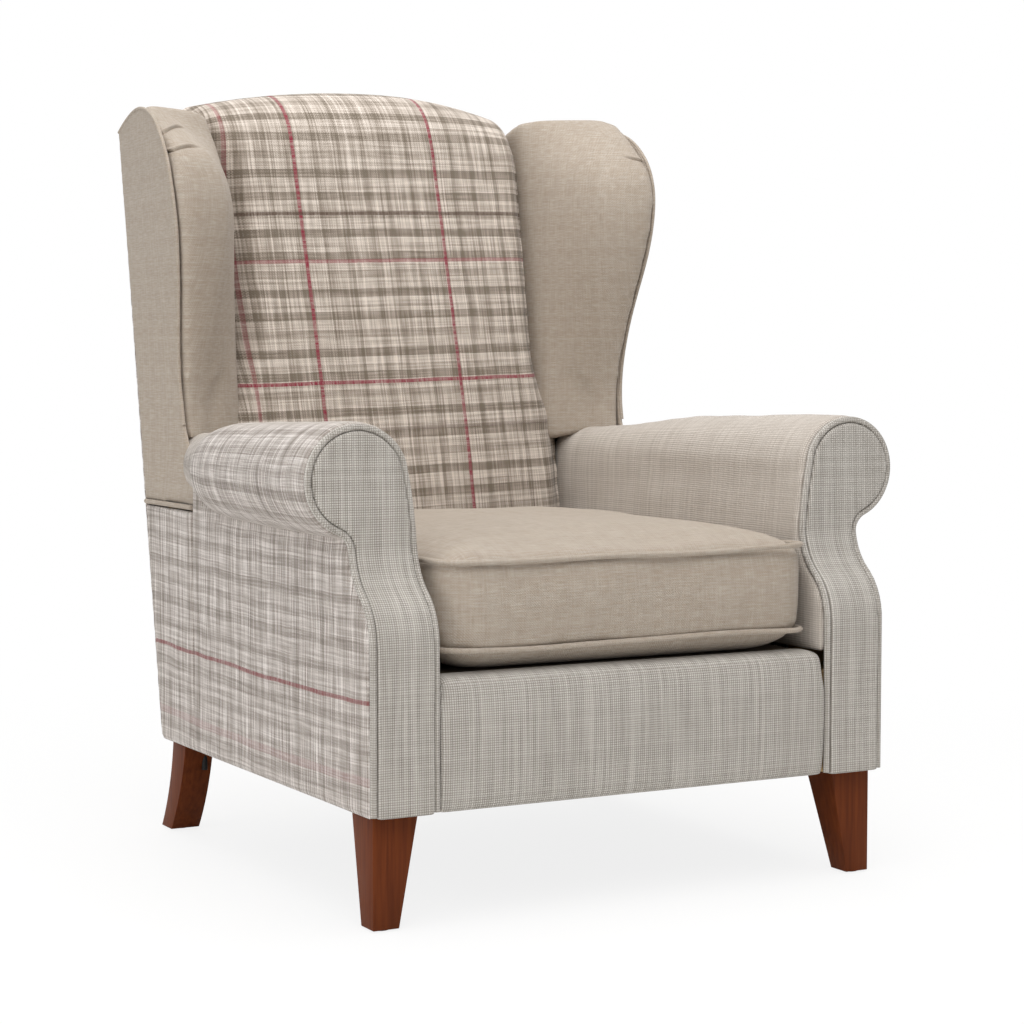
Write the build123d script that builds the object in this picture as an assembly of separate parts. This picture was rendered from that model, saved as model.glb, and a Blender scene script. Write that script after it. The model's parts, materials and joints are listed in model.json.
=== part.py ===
from build123d import *
import os
from math import cos, radians, sin, sqrt, tan

# A wing-back fireside armchair with a loose seat cushion, in millimetres.
# While it is built, X = 0 is the middle of the chair, Y = 0 is the front of the arm facings and
# Z = 0 is the floor. The finished pieces move along Y so that the origin is under the middle.

# ---- body ----
body_width = 755.0            # across the outside arm panels
body_depth = 722.0            # from the facings' front to the back, at the underside
underside_height = 140.0      # underside of the upholstery above the floor
back_rake = 10.2              # lean of the back, degrees from upright
seam_gap = 0.3                # clearance between soft pieces that meet at a seam
panel_thickness = 6.0         # outer panels: cloth over card
side_seam_y = 588.0           # seam between the outside arm and the rear side panel

# ---- arm facings and arms ----
facing_inner_half = 285.0     # inner edge of a facing, from the middle
facing_thickness = 22.0
facing_sweep = 60.0           # how far the scroll stands back from the lower facing
sweep_bottom = 345.0          # height where the facing starts to lean back
sweep_top = 468.0             # height where it is upright again
scroll_radius = 69.5
scroll_centre_half = 365.5    # centre of the scroll, from the middle
scroll_centre_height = 543.0
scroll_join_angle = 160.0     # where the inner edge runs into the scroll, degrees
inner_lean_height = 430.0     # where the inner edge starts to lean out to the scroll
neck_radius = 25.0            # hollow under the scroll
facing_piping = 8.2           # piping round the facings
piping_setback = 2.0          # piping behind the facing's face
piping_depth = 8.0
roll_fullness = 2.5           # how much fuller the roll is than its facing
roll_start_y = 30.0           # the roll starts behind the facing
roll_back_radius = 65.0       # the roll where its back end starts to round off
roll_tip_radius = 12.0
roll_back_half = 352.0        # axis of the roll at its back end, from the middle
roll_back_drop = 6.0          # how much lower the roll's centre is near its back end
roll_taper_length = 115.0     # rounded back end of the roll's overhang
roll_belly = 2.0              # swell of the roll along its length
arm_stand_out = 2.0           # how far the inside arm stands proud of its facing
inside_arm_thickness = 33.0

# ---- wings ----
wing_foot_drop = 57.0         # foot of the outer wing panels, below the scrolls' centre
wing_seat_height = 588.6      # foot of the wing pads, on the arms
wing_inner_half = 250.0       # wing's inner edge beside the inside back
wing_nose_reach = 9.0         # how far the padded nose stands ahead of the panel's edge
wing_top_gain = 15.0          # how much higher the pad's top is than the panel's
# Front edge of the outer wing panel: behind the side seam, and height.
wing_edge = ((62, 588.6), (72, 680), (52, 770), (26, 860), (27, 950), (66, 1013), (130, 1046))
wing_top_flat = 80.0          # level stretch of the wing's top, ahead of its back corner
# How the wing's outer face turns out with depth, at heights from foot to top.
wing_flare = ((466, 0.0), (588.6, 0.084), (736, 0.026), (920, -0.07), (1120, -0.108))
# The wing pad's nose behind the side seam and its inner face from the middle, by height.
wing_noses = ((588.6, 64, 312), (690, 70, 304), (790, 46, 298), (890, 24, 297), (960, 30, 303),
              (1030, 82, 322), (1080, 152, 328))
wing_nose_width = 26.0        # rounding of the nose, across the chair
wing_nose_depth = 25.0        # and along it
wing_pad_depth = 150.0        # room for the pad inside the outer panel
# Front edge of the plywood wing board: behind the side seam, and height.
wing_board_edge = ((96, 520), (108, 690), (70, 860), (74, 940), (130, 1000))
wing_board_thickness = 12.0
wing_board_half = 341.0       # inner face of the wing boards
base_piping = 7.0             # piping under the outer wing panels

# ---- back ----
back_corner_height = 1022.0   # outer top corners of the back
back_arch_rise = 42.0         # how much higher the middle of the outside back is
inside_back_base_y = 675.0    # inside back's face at the seat, beside the wings
inside_back_base_height = 445.0
inside_back_rake = 9.2        # lean of the inside back, degrees
inside_back_crown = 24.0      # how far its middle swells forward, beyond its edges
inside_back_bow = 4.0         # swell of the face beside the wings
crest_height = 1098.0         # top of the inside back, in the middle
crest_edge_drop = 38.0        # how much lower it is beside the wings
crest_roll_height = 75.0      # the rounding over the top of the inside back
crest_roll_depth = 48.0
crest_rear_drop = 16.0        # its rear edge below its top
lumbar_height = 640.0         # where the inside back's face is fullest
back_frame_thickness = 30.0
webbing_thickness = 2.0
webbing_width = 50.0
webbing_count = 5

# ---- seat ----
cushion_half_width = 275.0    # with the piping
cushion_front_y = 12.0
cushion_back_y = 632.0
cushion_corner = 34.0
cushion_piping = 8.5          # diameter
cushion_bottom_seam = 334.0   # height of the lower piping
cushion_top_seam = 443.0      # height of the upper piping
cushion_crown_height = 471.0
cushion_draw_in = 6.0         # how far the border pulls in between its seams
# Crown and underside of the cushion: distance in from the seam, and share of the full rise.
crown_steps = ((16, 0.42), (55, 0.82), (110, 1.0))
belly_steps = ((14, 0.5), (50, 1.0))
piping_fit = 0.1              # clearance round the cushion's piping
core_fit = 0.2                # clearance between the core and the cover
cover_thickness = 1.5
deck_top = 303.0
deck_thickness = 16.0
border_front_y = 5.0          # upholstered front border
border_top = 300.0
border_round = 14.0
border_foot = 4.0             # foot of the border above the underside

# ---- frame ----
rail_thickness = 25.0
back_rail_thickness = 21.0
seat_rail_top = 275.0
side_rail_top = 250.0
side_rail_half = 366.0        # outer face of the side rails
corner_block_leg = 90.0
corner_block_height = 40.0
post_width = 25.0
post_depth = 50.0
arm_rail_thickness = 22.0
arm_rail_width = 36.0
arm_rail_half = 352.0         # outer face of the arm rails
arm_rail_bottom = 498.0
back_post_width = 30.0
crest_rail_top = 1000.0
crest_rail_height = 60.0
tacking_rail_bottom = 330.0
tacking_rail_height = 45.0
back_seat_rail_y = 655.0

# ---- springs and trim underneath ----
spring_count = 5
spring_pitch = 100.0
spring_wire = 3.8
spring_wave = 26.0            # half width of a spring's bends
spring_bends = 20
spring_slant = 0.15           # slant of a spring's cross bars, as a share of one bend
spring_turn = 0.3             # radius of its corners, as a share of one bend
clip_width = 16.0
clip_height = 10.0
clip_depth = 15.0
wire_fit = 0.2
dust_cover_thickness = 1.2

# ---- legs ----
front_leg_half = 368.3        # outer face of the front legs
front_leg_y = 19.0
front_leg_top = 60.6
front_leg_foot = 35.0
back_leg_half = 358.0
back_leg_width = 43.0
back_leg_top_y = 670.0
back_leg_top_depth = 50.0
back_leg_foot_y = 732.0
back_leg_foot_depth = 39.0
back_leg_bow = 9.0            # hollow of the back leg's sweep
glide_diameter = 22.0
glide_thickness = 2.0
bolt_diameter = 8.0
bolt_length = 85.0
bolt_in_leg = 45.0
bolt_fit = 0.2
bolt_share_across = 0.75      # bolt from a leg's outer face, as a share of its width
bolt_share_deep = 0.65        # bolt from a front leg's front face, as a share of its depth
back_bolt_setback = 10.0      # bolt behind a back leg's front face

# ---- cushion zip ----
zip_length = 440.0
zip_width = 24.0
zip_thickness = 1.0
slider_length = 14.0
slider_width = 9.0
slider_thickness = 3.0
slider_clearance = 0.4
zip_stand_off = 0.8           # tape behind the hollow of the cushion's border

HALF_BODY = body_width / 2
RAIL_BOTTOM = underside_height + dust_cover_thickness
SLOPE = tan(radians(back_rake))
INSIDE_SLOPE = tan(radians(inside_back_rake))
ARM_TOP_UNDER_WING = wing_seat_height - seam_gap
WING_FOOT = scroll_centre_height - wing_foot_drop
FAR = 1500.0                  # beyond every piece


def back_y(height):
    """Y of the outside back at a height."""
    return body_depth + (height - underside_height) * SLOPE


def inside_back_y(height):
    """Y of the inside back's face beside the wings at a height."""
    return inside_back_base_y + (height - inside_back_base_height) * INSIDE_SLOPE


def block(x0, x1, y0, y1, z0, z1):
    """A box between two corners."""
    return Pos((x0 + x1) / 2, (y0 + y1) / 2, (z0 + z1) / 2) * Box(x1 - x0, y1 - y0, z1 - z0)


def side_profile(edges, x0, x1):
    """A closed outline in Y and Z, extruded from x0 to x1."""
    face = Plane.YZ.offset(x0) * make_face(edges)
    return extrude(face, amount=x1 - x0)


def front_outline(edges, y0, y1):
    """A closed outline in X and Z, extruded from y0 to y1."""
    plane = Plane(origin=(0, y1, 0), x_dir=(1, 0, 0), z_dir=(0, -1, 0))
    return extrude(plane * make_face(edges), amount=y1 - y0)


def other_side(shape):
    return mirror(shape, about=Plane.YZ)


# ---- surfaces that many pieces share ----

def swept_front(offset):
    """The facings' swept face in Y and Z, moved back by an offset, from bottom to top."""
    middle = (offset + facing_sweep / 2, (sweep_bottom + sweep_top) / 2)
    top = (offset + facing_sweep, sweep_top)
    lower = Line((offset, 0), (offset, sweep_bottom))
    lower_arc = TangentArc((offset, sweep_bottom), middle, tangent=(0, 1))
    upper_arc = TangentArc(middle, top, tangent=lower_arc % 1)
    upper = Line(top, (offset + facing_sweep, FAR))
    return [lower, lower_arc, upper_arc, upper]


def behind_front(offset):
    """Everything behind the swept face, moved back by an offset."""
    close = Polyline((offset + facing_sweep, FAR), (FAR, FAR), (FAR, 0), (offset, 0))
    return side_profile(swept_front(offset) + close.edges(), -FAR, FAR)


def ahead_of_back(gap):
    """Everything in front of the raked outside back, less a gap."""
    lean = gap / cos(radians(back_rake))
    points = ((-FAR, 0), (back_y(0) - lean, 0), (back_y(FAR) - lean, FAR), (-FAR, FAR), (-FAR, 0))
    return side_profile(Polyline(*points).edges(), -FAR, FAR)


def on_back(shape):
    """Lean a piece modelled upright with its rear face at Y = 0 against the raked back."""
    return Pos(0, body_depth, underside_height) * Rot(-back_rake, 0, 0) * shape


def between_heights(shape, low, high):
    return shape & block(-FAR, FAR, -FAR, FAR, low, high)


# ---- arm facings ----

def scroll_point(angle, inset=0.0):
    a = radians(angle)
    radius = scroll_radius - inset
    return (scroll_centre_half + radius * cos(a), scroll_centre_height + radius * sin(a))


def facing_column(inset):
    """The right facing's outline, drawn in by an inset, as a column along Y.

    It has a straight foot, a hollow neck and a round scroll."""
    inner_x = facing_inner_half + inset
    outer_x = HALF_BODY - inset
    neck_x = HALF_BODY + neck_radius
    reach = scroll_radius + neck_radius
    neck_z = scroll_centre_height - sqrt(reach ** 2 - (neck_x - scroll_centre_half) ** 2)
    share = (scroll_radius - inset) / reach
    join = (
        scroll_centre_half + share * (neck_x - scroll_centre_half),
        scroll_centre_height + share * (neck_z - scroll_centre_height),
    )
    hollow_radius = neck_radius + inset
    hollow = (neck_x - hollow_radius * cos(radians(30)), neck_z + hollow_radius * sin(radians(30)))
    lean_start = (inner_x, inner_lean_height)
    lean_end = scroll_point(scroll_join_angle, inset)
    over_end = scroll_point(50, inset)
    edges = [
        Line((inner_x, underside_height), lean_start),
        TangentArc(lean_start, lean_end, tangent=(0, 1)),
        ThreePointArc(lean_end, scroll_point(110, inset), over_end),
        ThreePointArc(over_end, scroll_point(-10, inset), join),
        ThreePointArc(join, hollow, (outer_x, neck_z)),
        Line((outer_x, neck_z), (outer_x, underside_height)),
        Line((outer_x, underside_height), (inner_x, underside_height)),
    ]
    return front_outline(edges, -FAR, FAR)


def strip(start, end):
    """The layer between two offsets behind the swept face."""
    return behind_front(start) - behind_front(end)


def facing():
    return facing_column(facing_piping + seam_gap) & strip(0, facing_thickness)


def facing_edge_piping():
    """The piping follows the facing's inner edge, scroll and outer edge down to the underside."""
    ring = facing_column(0) - facing_column(facing_piping)
    return ring & strip(piping_setback, piping_setback + piping_depth)


def facing_pocket():
    """The space that a facing takes in the upholstery behind it."""
    return facing_column(facing_piping) & strip(0, facing_thickness + seam_gap)


# ---- arms ----

def arm_roll(gap=0.0):
    """The roll: a bolster round its own axis, slightly tapered, with a rounded back end."""
    start = Vector(scroll_centre_half, roll_start_y, scroll_centre_height)
    end = Vector(roll_back_half, side_seam_y, scroll_centre_height - roll_back_drop)
    length = (end - start).length
    full_length = length - roll_taper_length
    front_radius = scroll_radius + roll_fullness + gap
    back_radius = roll_back_radius + gap
    tip = roll_tip_radius
    middle = ((front_radius + back_radius) / 2 + roll_belly, full_length / 2)
    side = ThreePointArc((front_radius, 0), middle, (back_radius, full_length))
    end_arc = TangentArc((back_radius, full_length), (tip, length + gap), tangent=side % 1)
    outline = Polyline((tip, length + gap), (0, length + gap), (0, 0), (front_radius, 0))
    across = (end - start).cross(Vector(0, 0, 1)).normalized()
    plane = Plane(origin=start, x_dir=across, z_dir=across.cross((end - start).normalized()))
    face = plane * make_face([side, end_arc] + outline.edges())
    return revolve(face, axis=Axis(start, end - start))


def arm_timbers():
    """The arm rail, its post and the wing board, which the arm pad goes round."""
    return arm_rail() + arm_post() + wing_board()


def arm_pad():
    """Inside arm and rolled arm in one padded piece, with a plain block under the wing."""
    roll = arm_roll()
    inner = facing_inner_half - arm_stand_out
    slab_top = scroll_point(scroll_join_angle, -roll_fullness)
    slab_outer = inner + inside_arm_thickness
    slab = front_outline(
        [
            Line((inner, deck_top), (inner, inner_lean_height)),
            TangentArc((inner, inner_lean_height), slab_top, tangent=(0, 1)),
            Line(slab_top, (slab_outer, slab_top[1])),
            Line((slab_outer, slab_top[1]), (slab_outer, deck_top)),
            Line((slab_outer, deck_top), (inner, deck_top)),
        ],
        0, FAR,
    )
    top_radius = (HALF_BODY - panel_thickness - inner) / 2
    top_centre = (inner + top_radius, ARM_TOP_UNDER_WING - top_radius)
    ridge = front_outline(
        [
            Line((inner, neck_foot()), (inner, top_centre[1])),
            ThreePointArc(
                (inner, top_centre[1]),
                (top_centre[0], ARM_TOP_UNDER_WING),
                (inner + 2 * top_radius, top_centre[1]),
            ),
            Line((inner + 2 * top_radius, top_centre[1]), (inner + 2 * top_radius, neck_foot())),
            Line((inner + 2 * top_radius, neck_foot()), (inner, neck_foot())),
        ],
        side_seam_y - roll_taper_length, FAR,
    )
    ridge = ridge & wing_layer(panel_thickness + seam_gap, wing_pad_depth)
    frame_space = back_frame_thickness + 2 * panel_thickness + webbing_thickness
    pad = roll + (slab & ahead_of_back(frame_space)) + (ridge & ahead_of_back(frame_space))
    pad = pad & behind_front(piping_setback + piping_depth + seam_gap)
    return pad - facing_pocket() - arm_timbers()


def neck_foot():
    return scroll_centre_height - scroll_radius


def outside_arm():
    """Outside arm panel, under the roll, from the facing to the side seam."""
    panel = block(HALF_BODY - panel_thickness, HALF_BODY, 0, side_seam_y - seam_gap,
                  underside_height, scroll_centre_height)
    panel = panel & behind_front(piping_setback + piping_depth + seam_gap)
    return panel - arm_roll(seam_gap) - facing_pocket()


def rear_side():
    """Rear side panel, from the side seam to the outside back."""
    panel = block(HALF_BODY - panel_thickness, HALF_BODY, side_seam_y, FAR,
                  underside_height, WING_FOOT - base_piping - seam_gap)
    return panel & ahead_of_back(panel_thickness + seam_gap)


# ---- wings ----

def wing_layer(outer_gap, depth):
    """A layer of the side that starts a gap inside the wing's flared outer face."""
    sections = []
    front = side_seam_y - wing_nose_width
    for height, flare in wing_flare:
        back = back_y(height) + panel_thickness
        front_x = HALF_BODY + (front - back_y(height)) * flare - outer_gap
        back_x = HALF_BODY + (back - back_y(height)) * flare - outer_gap
        corners = ((front_x, front), (back_x, back), (back_x - depth, back), (front_x - depth, front))
        sections.append(Plane.XY.offset(height) * make_face(Polyline(*corners, close=True)))
    return loft(sections)


def wing_outline(front_gain, top_gain, foot):
    """Side outline of the wing: S-shaped front edge, rounded top that falls to the back corner."""
    points = [(side_seam_y + behind - front_gain, height) for behind, height in wing_edge]
    shoulder_y, shoulder = points[-2]
    crown_y, crown = points[-1]
    points[-2] = (shoulder_y, shoulder + top_gain / 2)
    points[-1] = (crown_y, crown + top_gain)
    points.append((back_y(back_corner_height) - wing_top_flat, crown + top_gain))
    points.append((back_y(back_corner_height) + panel_thickness, back_corner_height + top_gain / 3))
    front = Spline(*points)
    rest = [front @ 1, (FAR, foot)]
    if foot < wing_seat_height:
        rest.append((side_seam_y + seam_gap, foot))
    rest.append(front @ 0)
    return side_profile([front] + Polyline(*rest).edges(), 0, FAR)


def outer_wing():
    panel = wing_outline(0, 0, WING_FOOT) & wing_layer(0, panel_thickness)
    return panel & ahead_of_back(panel_thickness + seam_gap)


def wing_base_piping():
    """Piping in the seam between the outer wing panel and the rear side panel."""
    low = WING_FOOT - base_piping
    piping = block(HALF_BODY - base_piping, HALF_BODY + base_piping / 4, side_seam_y, FAR,
                   low, WING_FOOT - seam_gap)
    return piping & ahead_of_back(panel_thickness + seam_gap)


def wing_section(height, nose, bulge_half):
    """Plan of the wing pad: rounded nose, bulging inner face, straight back and outer sides."""
    frame_space = back_frame_thickness + panel_thickness + webbing_thickness
    rear = back_y(height) - frame_space - 1
    outer_x = HALF_BODY + 2 * wing_nose_width
    outer = (outer_x, nose + wing_nose_depth / 4)
    shoulder = (bulge_half + wing_nose_width, nose + wing_nose_depth / 3)
    corner = (bulge_half + wing_nose_width / 6, nose + wing_nose_depth)
    meet = (wing_inner_half, inside_back_y(height) + wing_nose_depth / 2)
    nose_middle = ((outer_x + shoulder[0]) / 2, nose - wing_nose_depth / 5)
    turn_middle = (bulge_half + wing_nose_width / 2, nose + wing_nose_depth * 0.56)
    face_middle = ((corner[0] + meet[0]) / 2 - 6, (corner[1] + meet[1]) / 2 - 3)
    edges = [
        Line((outer_x, rear), outer),
        ThreePointArc(outer, nose_middle, shoulder),
        ThreePointArc(shoulder, turn_middle, corner),
        ThreePointArc(corner, face_middle, meet),
        Line(meet, (wing_inner_half, rear)),
        Line((wing_inner_half, rear), (outer_x, rear)),
    ]
    return Plane.XY.offset(height) * make_face(edges)


def wing_pad():
    """Padded wing: it sits on the arm, with a rounded nose and a dome-like front to its top."""
    sections = []
    for height, behind, half in wing_noses:
        sections.append(wing_section(height, side_seam_y + behind - wing_nose_reach, half))
    pad = loft(sections)
    frame_top = crest_rail_top + seam_gap
    over_frame = block(wing_inner_half, FAR, back_y(frame_top) - wing_top_flat, FAR, frame_top, FAR)
    pad = pad + over_frame
    pad = pad & wing_outline(2 * wing_nose_reach, wing_top_gain, wing_seat_height)
    pad = pad & wing_layer(panel_thickness + seam_gap, wing_pad_depth)
    pad = pad & ahead_of_back(panel_thickness + seam_gap)
    return pad - wing_board() - back_post(seam_gap) - crest_rail()


# ---- back ----

def back_layer(front, rear):
    """The layer between two distances in front of the outside back, from the underside up."""
    return ahead_of_back(rear) - ahead_of_back(front)


def inside_back_section(half, crown, top):
    """Side section of the inside back pad: a flat rear that steps over the crest rail."""
    step = crest_rail_top + seam_gap
    rear = back_frame_thickness + panel_thickness + webbing_thickness + seam_gap
    lean = 1 / cos(radians(back_rake))
    shoulder = top - crest_roll_height
    front_foot = (inside_back_y(deck_top) - crown / 2, deck_top)
    front_middle = (inside_back_y(lumbar_height) - crown, lumbar_height)
    front_top = (inside_back_y(shoulder) - crown, shoulder)
    crest_y = inside_back_y(top) + crest_roll_depth
    rear_height = top - crest_rear_drop
    rear_top = (back_y(rear_height) - (panel_thickness + seam_gap) * lean, rear_height)
    face = ThreePointArc(front_foot, front_middle, front_top)
    over = TangentArc(front_top, (crest_y, top), tangent=face % 1)
    down = TangentArc((crest_y, top), rear_top, tangent=over % 1)
    rest = Polyline(
        rear_top,
        (back_y(step) - (panel_thickness + seam_gap) * lean, step),
        (back_y(step) - rear * lean, step),
        (back_y(deck_top) - rear * lean, deck_top),
        front_foot,
    )
    return Plane.YZ.offset(half) * make_face([face, over, down] + rest.edges())


def inside_back():
    """Inside back pad: arched top, crowned face, and a wider foot between the arms."""
    half = wing_inner_half - seam_gap
    sections = []
    for share in (-1.0, -0.6, 0.0, 0.6, 1.0):
        crown = inside_back_bow + inside_back_crown * (1 - share ** 2)
        top = crest_height - crest_edge_drop * share ** 2
        sections.append(inside_back_section(half * share, crown, top))
    pad = loft(sections)
    foot_half = facing_inner_half - arm_stand_out - seam_gap
    foot_top = wing_seat_height - seam_gap
    rear = back_frame_thickness + panel_thickness + webbing_thickness + seam_gap
    points = (
        (inside_back_y(deck_top), deck_top),
        (inside_back_y(foot_top), foot_top),
        (FAR, foot_top),
        (FAR, deck_top),
        (inside_back_y(deck_top), deck_top),
    )
    foot = side_profile(Polyline(*points).edges(), half - 1, foot_half)
    foot = foot & ahead_of_back(rear)
    return pad + foot + other_side(foot)


def back_arch(corner_height, rise, half):
    """The outline of the back in its own leaning plane, from the underside to an arched top."""
    corner = (corner_height - underside_height) / cos(radians(back_rake))
    top = corner + rise / cos(radians(back_rake))
    return [
        Line((-half, 0), (-half, corner)),
        ThreePointArc((-half, corner), (0, top), (half, corner)),
        Line((half, corner), (half, 0)),
        Line((half, 0), (-half, 0)),
    ]


def outside_back():
    """Outside back panel: one flat leaning panel, cut level at the underside."""
    panel = front_outline(back_arch(back_corner_height, back_arch_rise, HALF_BODY), -panel_thickness, 0)
    panel = on_back(panel)
    return between_heights(panel, underside_height, FAR)


def back_member(x0, x1, low, high):
    """A leaning timber of the back frame, between two heights."""
    member = block(x0, x1, 0, FAR, low, high)
    return member & back_layer(back_frame_thickness + panel_thickness, panel_thickness)


def back_post(gap=0.0):
    outer = wing_board_half
    return back_member(outer - back_post_width - gap, outer, RAIL_BOTTOM, crest_rail_top)


def crest_rail():
    half = wing_board_half - back_post_width
    return back_member(-half, half, crest_rail_top - crest_rail_height, crest_rail_top)


def tacking_rail():
    """Lower back rail, where the foot of the inside back is tacked."""
    half = wing_board_half - back_post_width
    return back_member(-half, half, tacking_rail_bottom, tacking_rail_bottom + tacking_rail_height)


def back_webbing():
    """Webbing straps across the front faces of the back posts."""
    front = back_frame_thickness + panel_thickness
    low = tacking_rail_bottom + tacking_rail_height + webbing_width
    pitch = (crest_rail_top - crest_rail_height - low) / webbing_count
    straps = []
    for number in range(webbing_count):
        z = low + number * pitch
        strap = block(-wing_board_half, wing_board_half, 0, FAR, z, z + webbing_width)
        straps.append(strap & back_layer(front + webbing_thickness, front))
    return Compound(children=straps)


def wing_board():
    """Plywood wing frame, screwed to the outer face of a back post and standing on the arm rail."""
    foot = arm_rail_bottom + arm_rail_thickness
    points = [(side_seam_y + behind, height) for behind, height in wing_board_edge]
    points[0] = (points[0][0], foot)
    points[-1] = (points[-1][0], crest_rail_top)
    points += [(FAR, crest_rail_top), (FAR, foot), points[0]]
    outer = wing_board_half + wing_board_thickness
    board = side_profile(Polyline(*points).edges(), wing_board_half, outer)
    return board & ahead_of_back(panel_thickness)


# ---- seat frame ----

def front_rail():
    front = facing_thickness + seam_gap
    return block(-side_rail_half, side_rail_half, front, front + rail_thickness,
                 RAIL_BOTTOM, seat_rail_top)


def side_rail():
    front = facing_thickness + seam_gap + rail_thickness
    rail = block(side_rail_half - rail_thickness, side_rail_half, front, FAR,
                 RAIL_BOTTOM, side_rail_top)
    return rail & ahead_of_back(panel_thickness)


def back_seat_rail():
    half = side_rail_half - rail_thickness
    return block(-half, half, back_seat_rail_y, back_seat_rail_y + back_rail_thickness,
                 RAIL_BOTTOM, seat_rail_top)


def corner_blocks():
    """Three-cornered glue blocks inside the seat frame, bored for the leg bolts."""
    x = side_rail_half - rail_thickness
    front = facing_thickness + seam_gap + rail_thickness
    rear = back_seat_rail_y
    blocks = []
    for corner_y, turn in ((front, 1), (rear, -1)):
        points = (
            (x, corner_y),
            (x - corner_block_leg, corner_y),
            (x, corner_y + turn * corner_block_leg),
        )
        face = Plane.XY.offset(RAIL_BOTTOM) * make_face(Polyline(*points, close=True))
        piece = extrude(face, amount=corner_block_height, dir=(0, 0, 1))
        blocks.append(drilled(piece))
        blocks.append(other_side(drilled(piece)))
    return Compound(children=blocks)


def arm_post():
    """Upright from the front corner block to the arm rail, against the side rail."""
    front = facing_sweep + facing_thickness + seam_gap
    x = side_rail_half - rail_thickness
    return block(x - post_width, x, front, front + post_depth,
                 RAIL_BOTTOM + corner_block_height, arm_rail_bottom)


def arm_rail():
    """Rail inside the roll, from the facing to the front of the back post."""
    front = facing_sweep + facing_thickness + seam_gap
    rail = block(arm_rail_half - arm_rail_width, arm_rail_half, front, FAR,
                 arm_rail_bottom, arm_rail_bottom + arm_rail_thickness)
    return rail & ahead_of_back(back_frame_thickness + panel_thickness)


# ---- springs, deck, border and dust cover ----

def spring_places():
    return [(number - (spring_count - 1) / 2) * spring_pitch for number in range(spring_count)]


def spring_height():
    return seat_rail_top + clip_height / 2


def zigzag_spring(x):
    """One zigzag spring from front to back: straight ends in its clips and even bends between."""
    start = facing_thickness + seam_gap + rail_thickness / 2
    end = back_seat_rail_y + back_rail_thickness / 2
    run_start = start + 2 * clip_depth
    run_end = end - 2 * clip_depth
    step = (run_end - run_start) / spring_bends
    points = [(x, start), (x, run_start)]
    for bend in range(spring_bends):
        side = spring_wave if bend % 2 == 0 else -spring_wave
        points.append((x + side, run_start + (bend + spring_slant) * step))
        points.append((x + side, run_start + (bend + 1 - spring_slant) * step))
    points.append((x, run_end))
    points.append((x, end))
    path = Plane.XY.offset(spring_height()) * FilletPolyline(*points, radius=step * spring_turn)
    section = Plane(path @ 0, z_dir=path % 0) * Circle(spring_wire / 2)
    return sweep(section, path=path)


def zigzag_springs():
    return Compound(children=[zigzag_spring(x) for x in spring_places()])


def spring_clips():
    """Folded clips that hold the springs' ends on top of the front and back rails."""
    front_y = facing_thickness + seam_gap + rail_thickness - clip_depth / 2
    back_seat_y = back_seat_rail_y + clip_depth / 2
    clips = []
    for x in spring_places():
        for y in (front_y, back_seat_y):
            clip = Pos(x, y, spring_height()) * Box(clip_width, clip_depth, clip_height)
            bore = Pos(x, y, spring_height()) * Rot(90, 0, 0) * Cylinder(
                spring_wire / 2 + wire_fit, clip_depth + 2
            )
            clips.append(clip - bore)
    return Compound(children=clips)


def seat_deck():
    """Hessian, felt and platform cloth over the springs, as one layer."""
    half = facing_inner_half - arm_stand_out - seam_gap
    front = facing_thickness + seam_gap
    crown = inside_back_bow + inside_back_crown
    rear = inside_back_y(deck_top) - crown / 2 - seam_gap
    return block(-half, half, front, rear, deck_top - deck_thickness, deck_top - seam_gap)


def front_border():
    """Upholstered border over the front rail, rounded at its top edge."""
    half = facing_inner_half - seam_gap
    rear = facing_thickness
    foot = underside_height + border_foot
    y = border_front_y
    r = border_round
    edges = [
        Line((y, foot), (y, border_top - r)),
        ThreePointArc(
            (y, border_top - r),
            (y + r - r * cos(radians(45)), border_top - r + r * sin(radians(45))),
            (y + r, border_top),
        ),
        Line((y + r, border_top), (rear, border_top)),
        Line((rear, border_top), (rear, foot)),
        Line((rear, foot), (y, foot)),
    ]
    return side_profile(edges, -half, half)


def dust_cover():
    """Thin cloth stapled under the seat frame; the leg bolts pass through it."""
    half = HALF_BODY - 2 * panel_thickness
    sheet = block(-half, half, facing_thickness, back_y(underside_height) - 3 * panel_thickness,
                  underside_height, RAIL_BOTTOM)
    return drilled(sheet)


# ---- legs ----

def front_leg():
    """Square leg, tapered on its two inner faces."""
    outer = front_leg_half
    y = front_leg_y
    foot = Plane.XY.offset(glide_thickness) * make_face(Polyline(
        (outer, y), (outer, y + front_leg_foot), (outer - front_leg_foot, y + front_leg_foot),
        (outer - front_leg_foot, y), close=True))
    top = Plane.XY.offset(underside_height) * make_face(Polyline(
        (outer, y), (outer, y + front_leg_top), (outer - front_leg_top, y + front_leg_top),
        (outer - front_leg_top, y), close=True))
    return drilled(loft([foot, top], ruled=True))


def back_leg():
    """Back leg, cut from a board in a backward sweep."""
    mid = (glide_thickness + underside_height) / 2
    top_rear = back_leg_top_y + back_leg_top_depth
    foot_rear = back_leg_foot_y + back_leg_foot_depth
    middle_front = (back_leg_top_y + back_leg_foot_y) / 2 - back_leg_bow
    middle_rear = (top_rear + foot_rear) / 2 - back_leg_bow
    edges = [
        ThreePointArc((back_leg_foot_y, glide_thickness), (middle_front, mid),
                      (back_leg_top_y, underside_height)),
        Line((back_leg_top_y, underside_height), (top_rear, underside_height)),
        ThreePointArc((top_rear, underside_height), (middle_rear, mid), (foot_rear, glide_thickness)),
        Line((foot_rear, glide_thickness), (back_leg_foot_y, glide_thickness)),
    ]
    return drilled(side_profile(edges, back_leg_half - back_leg_width, back_leg_half))


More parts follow.
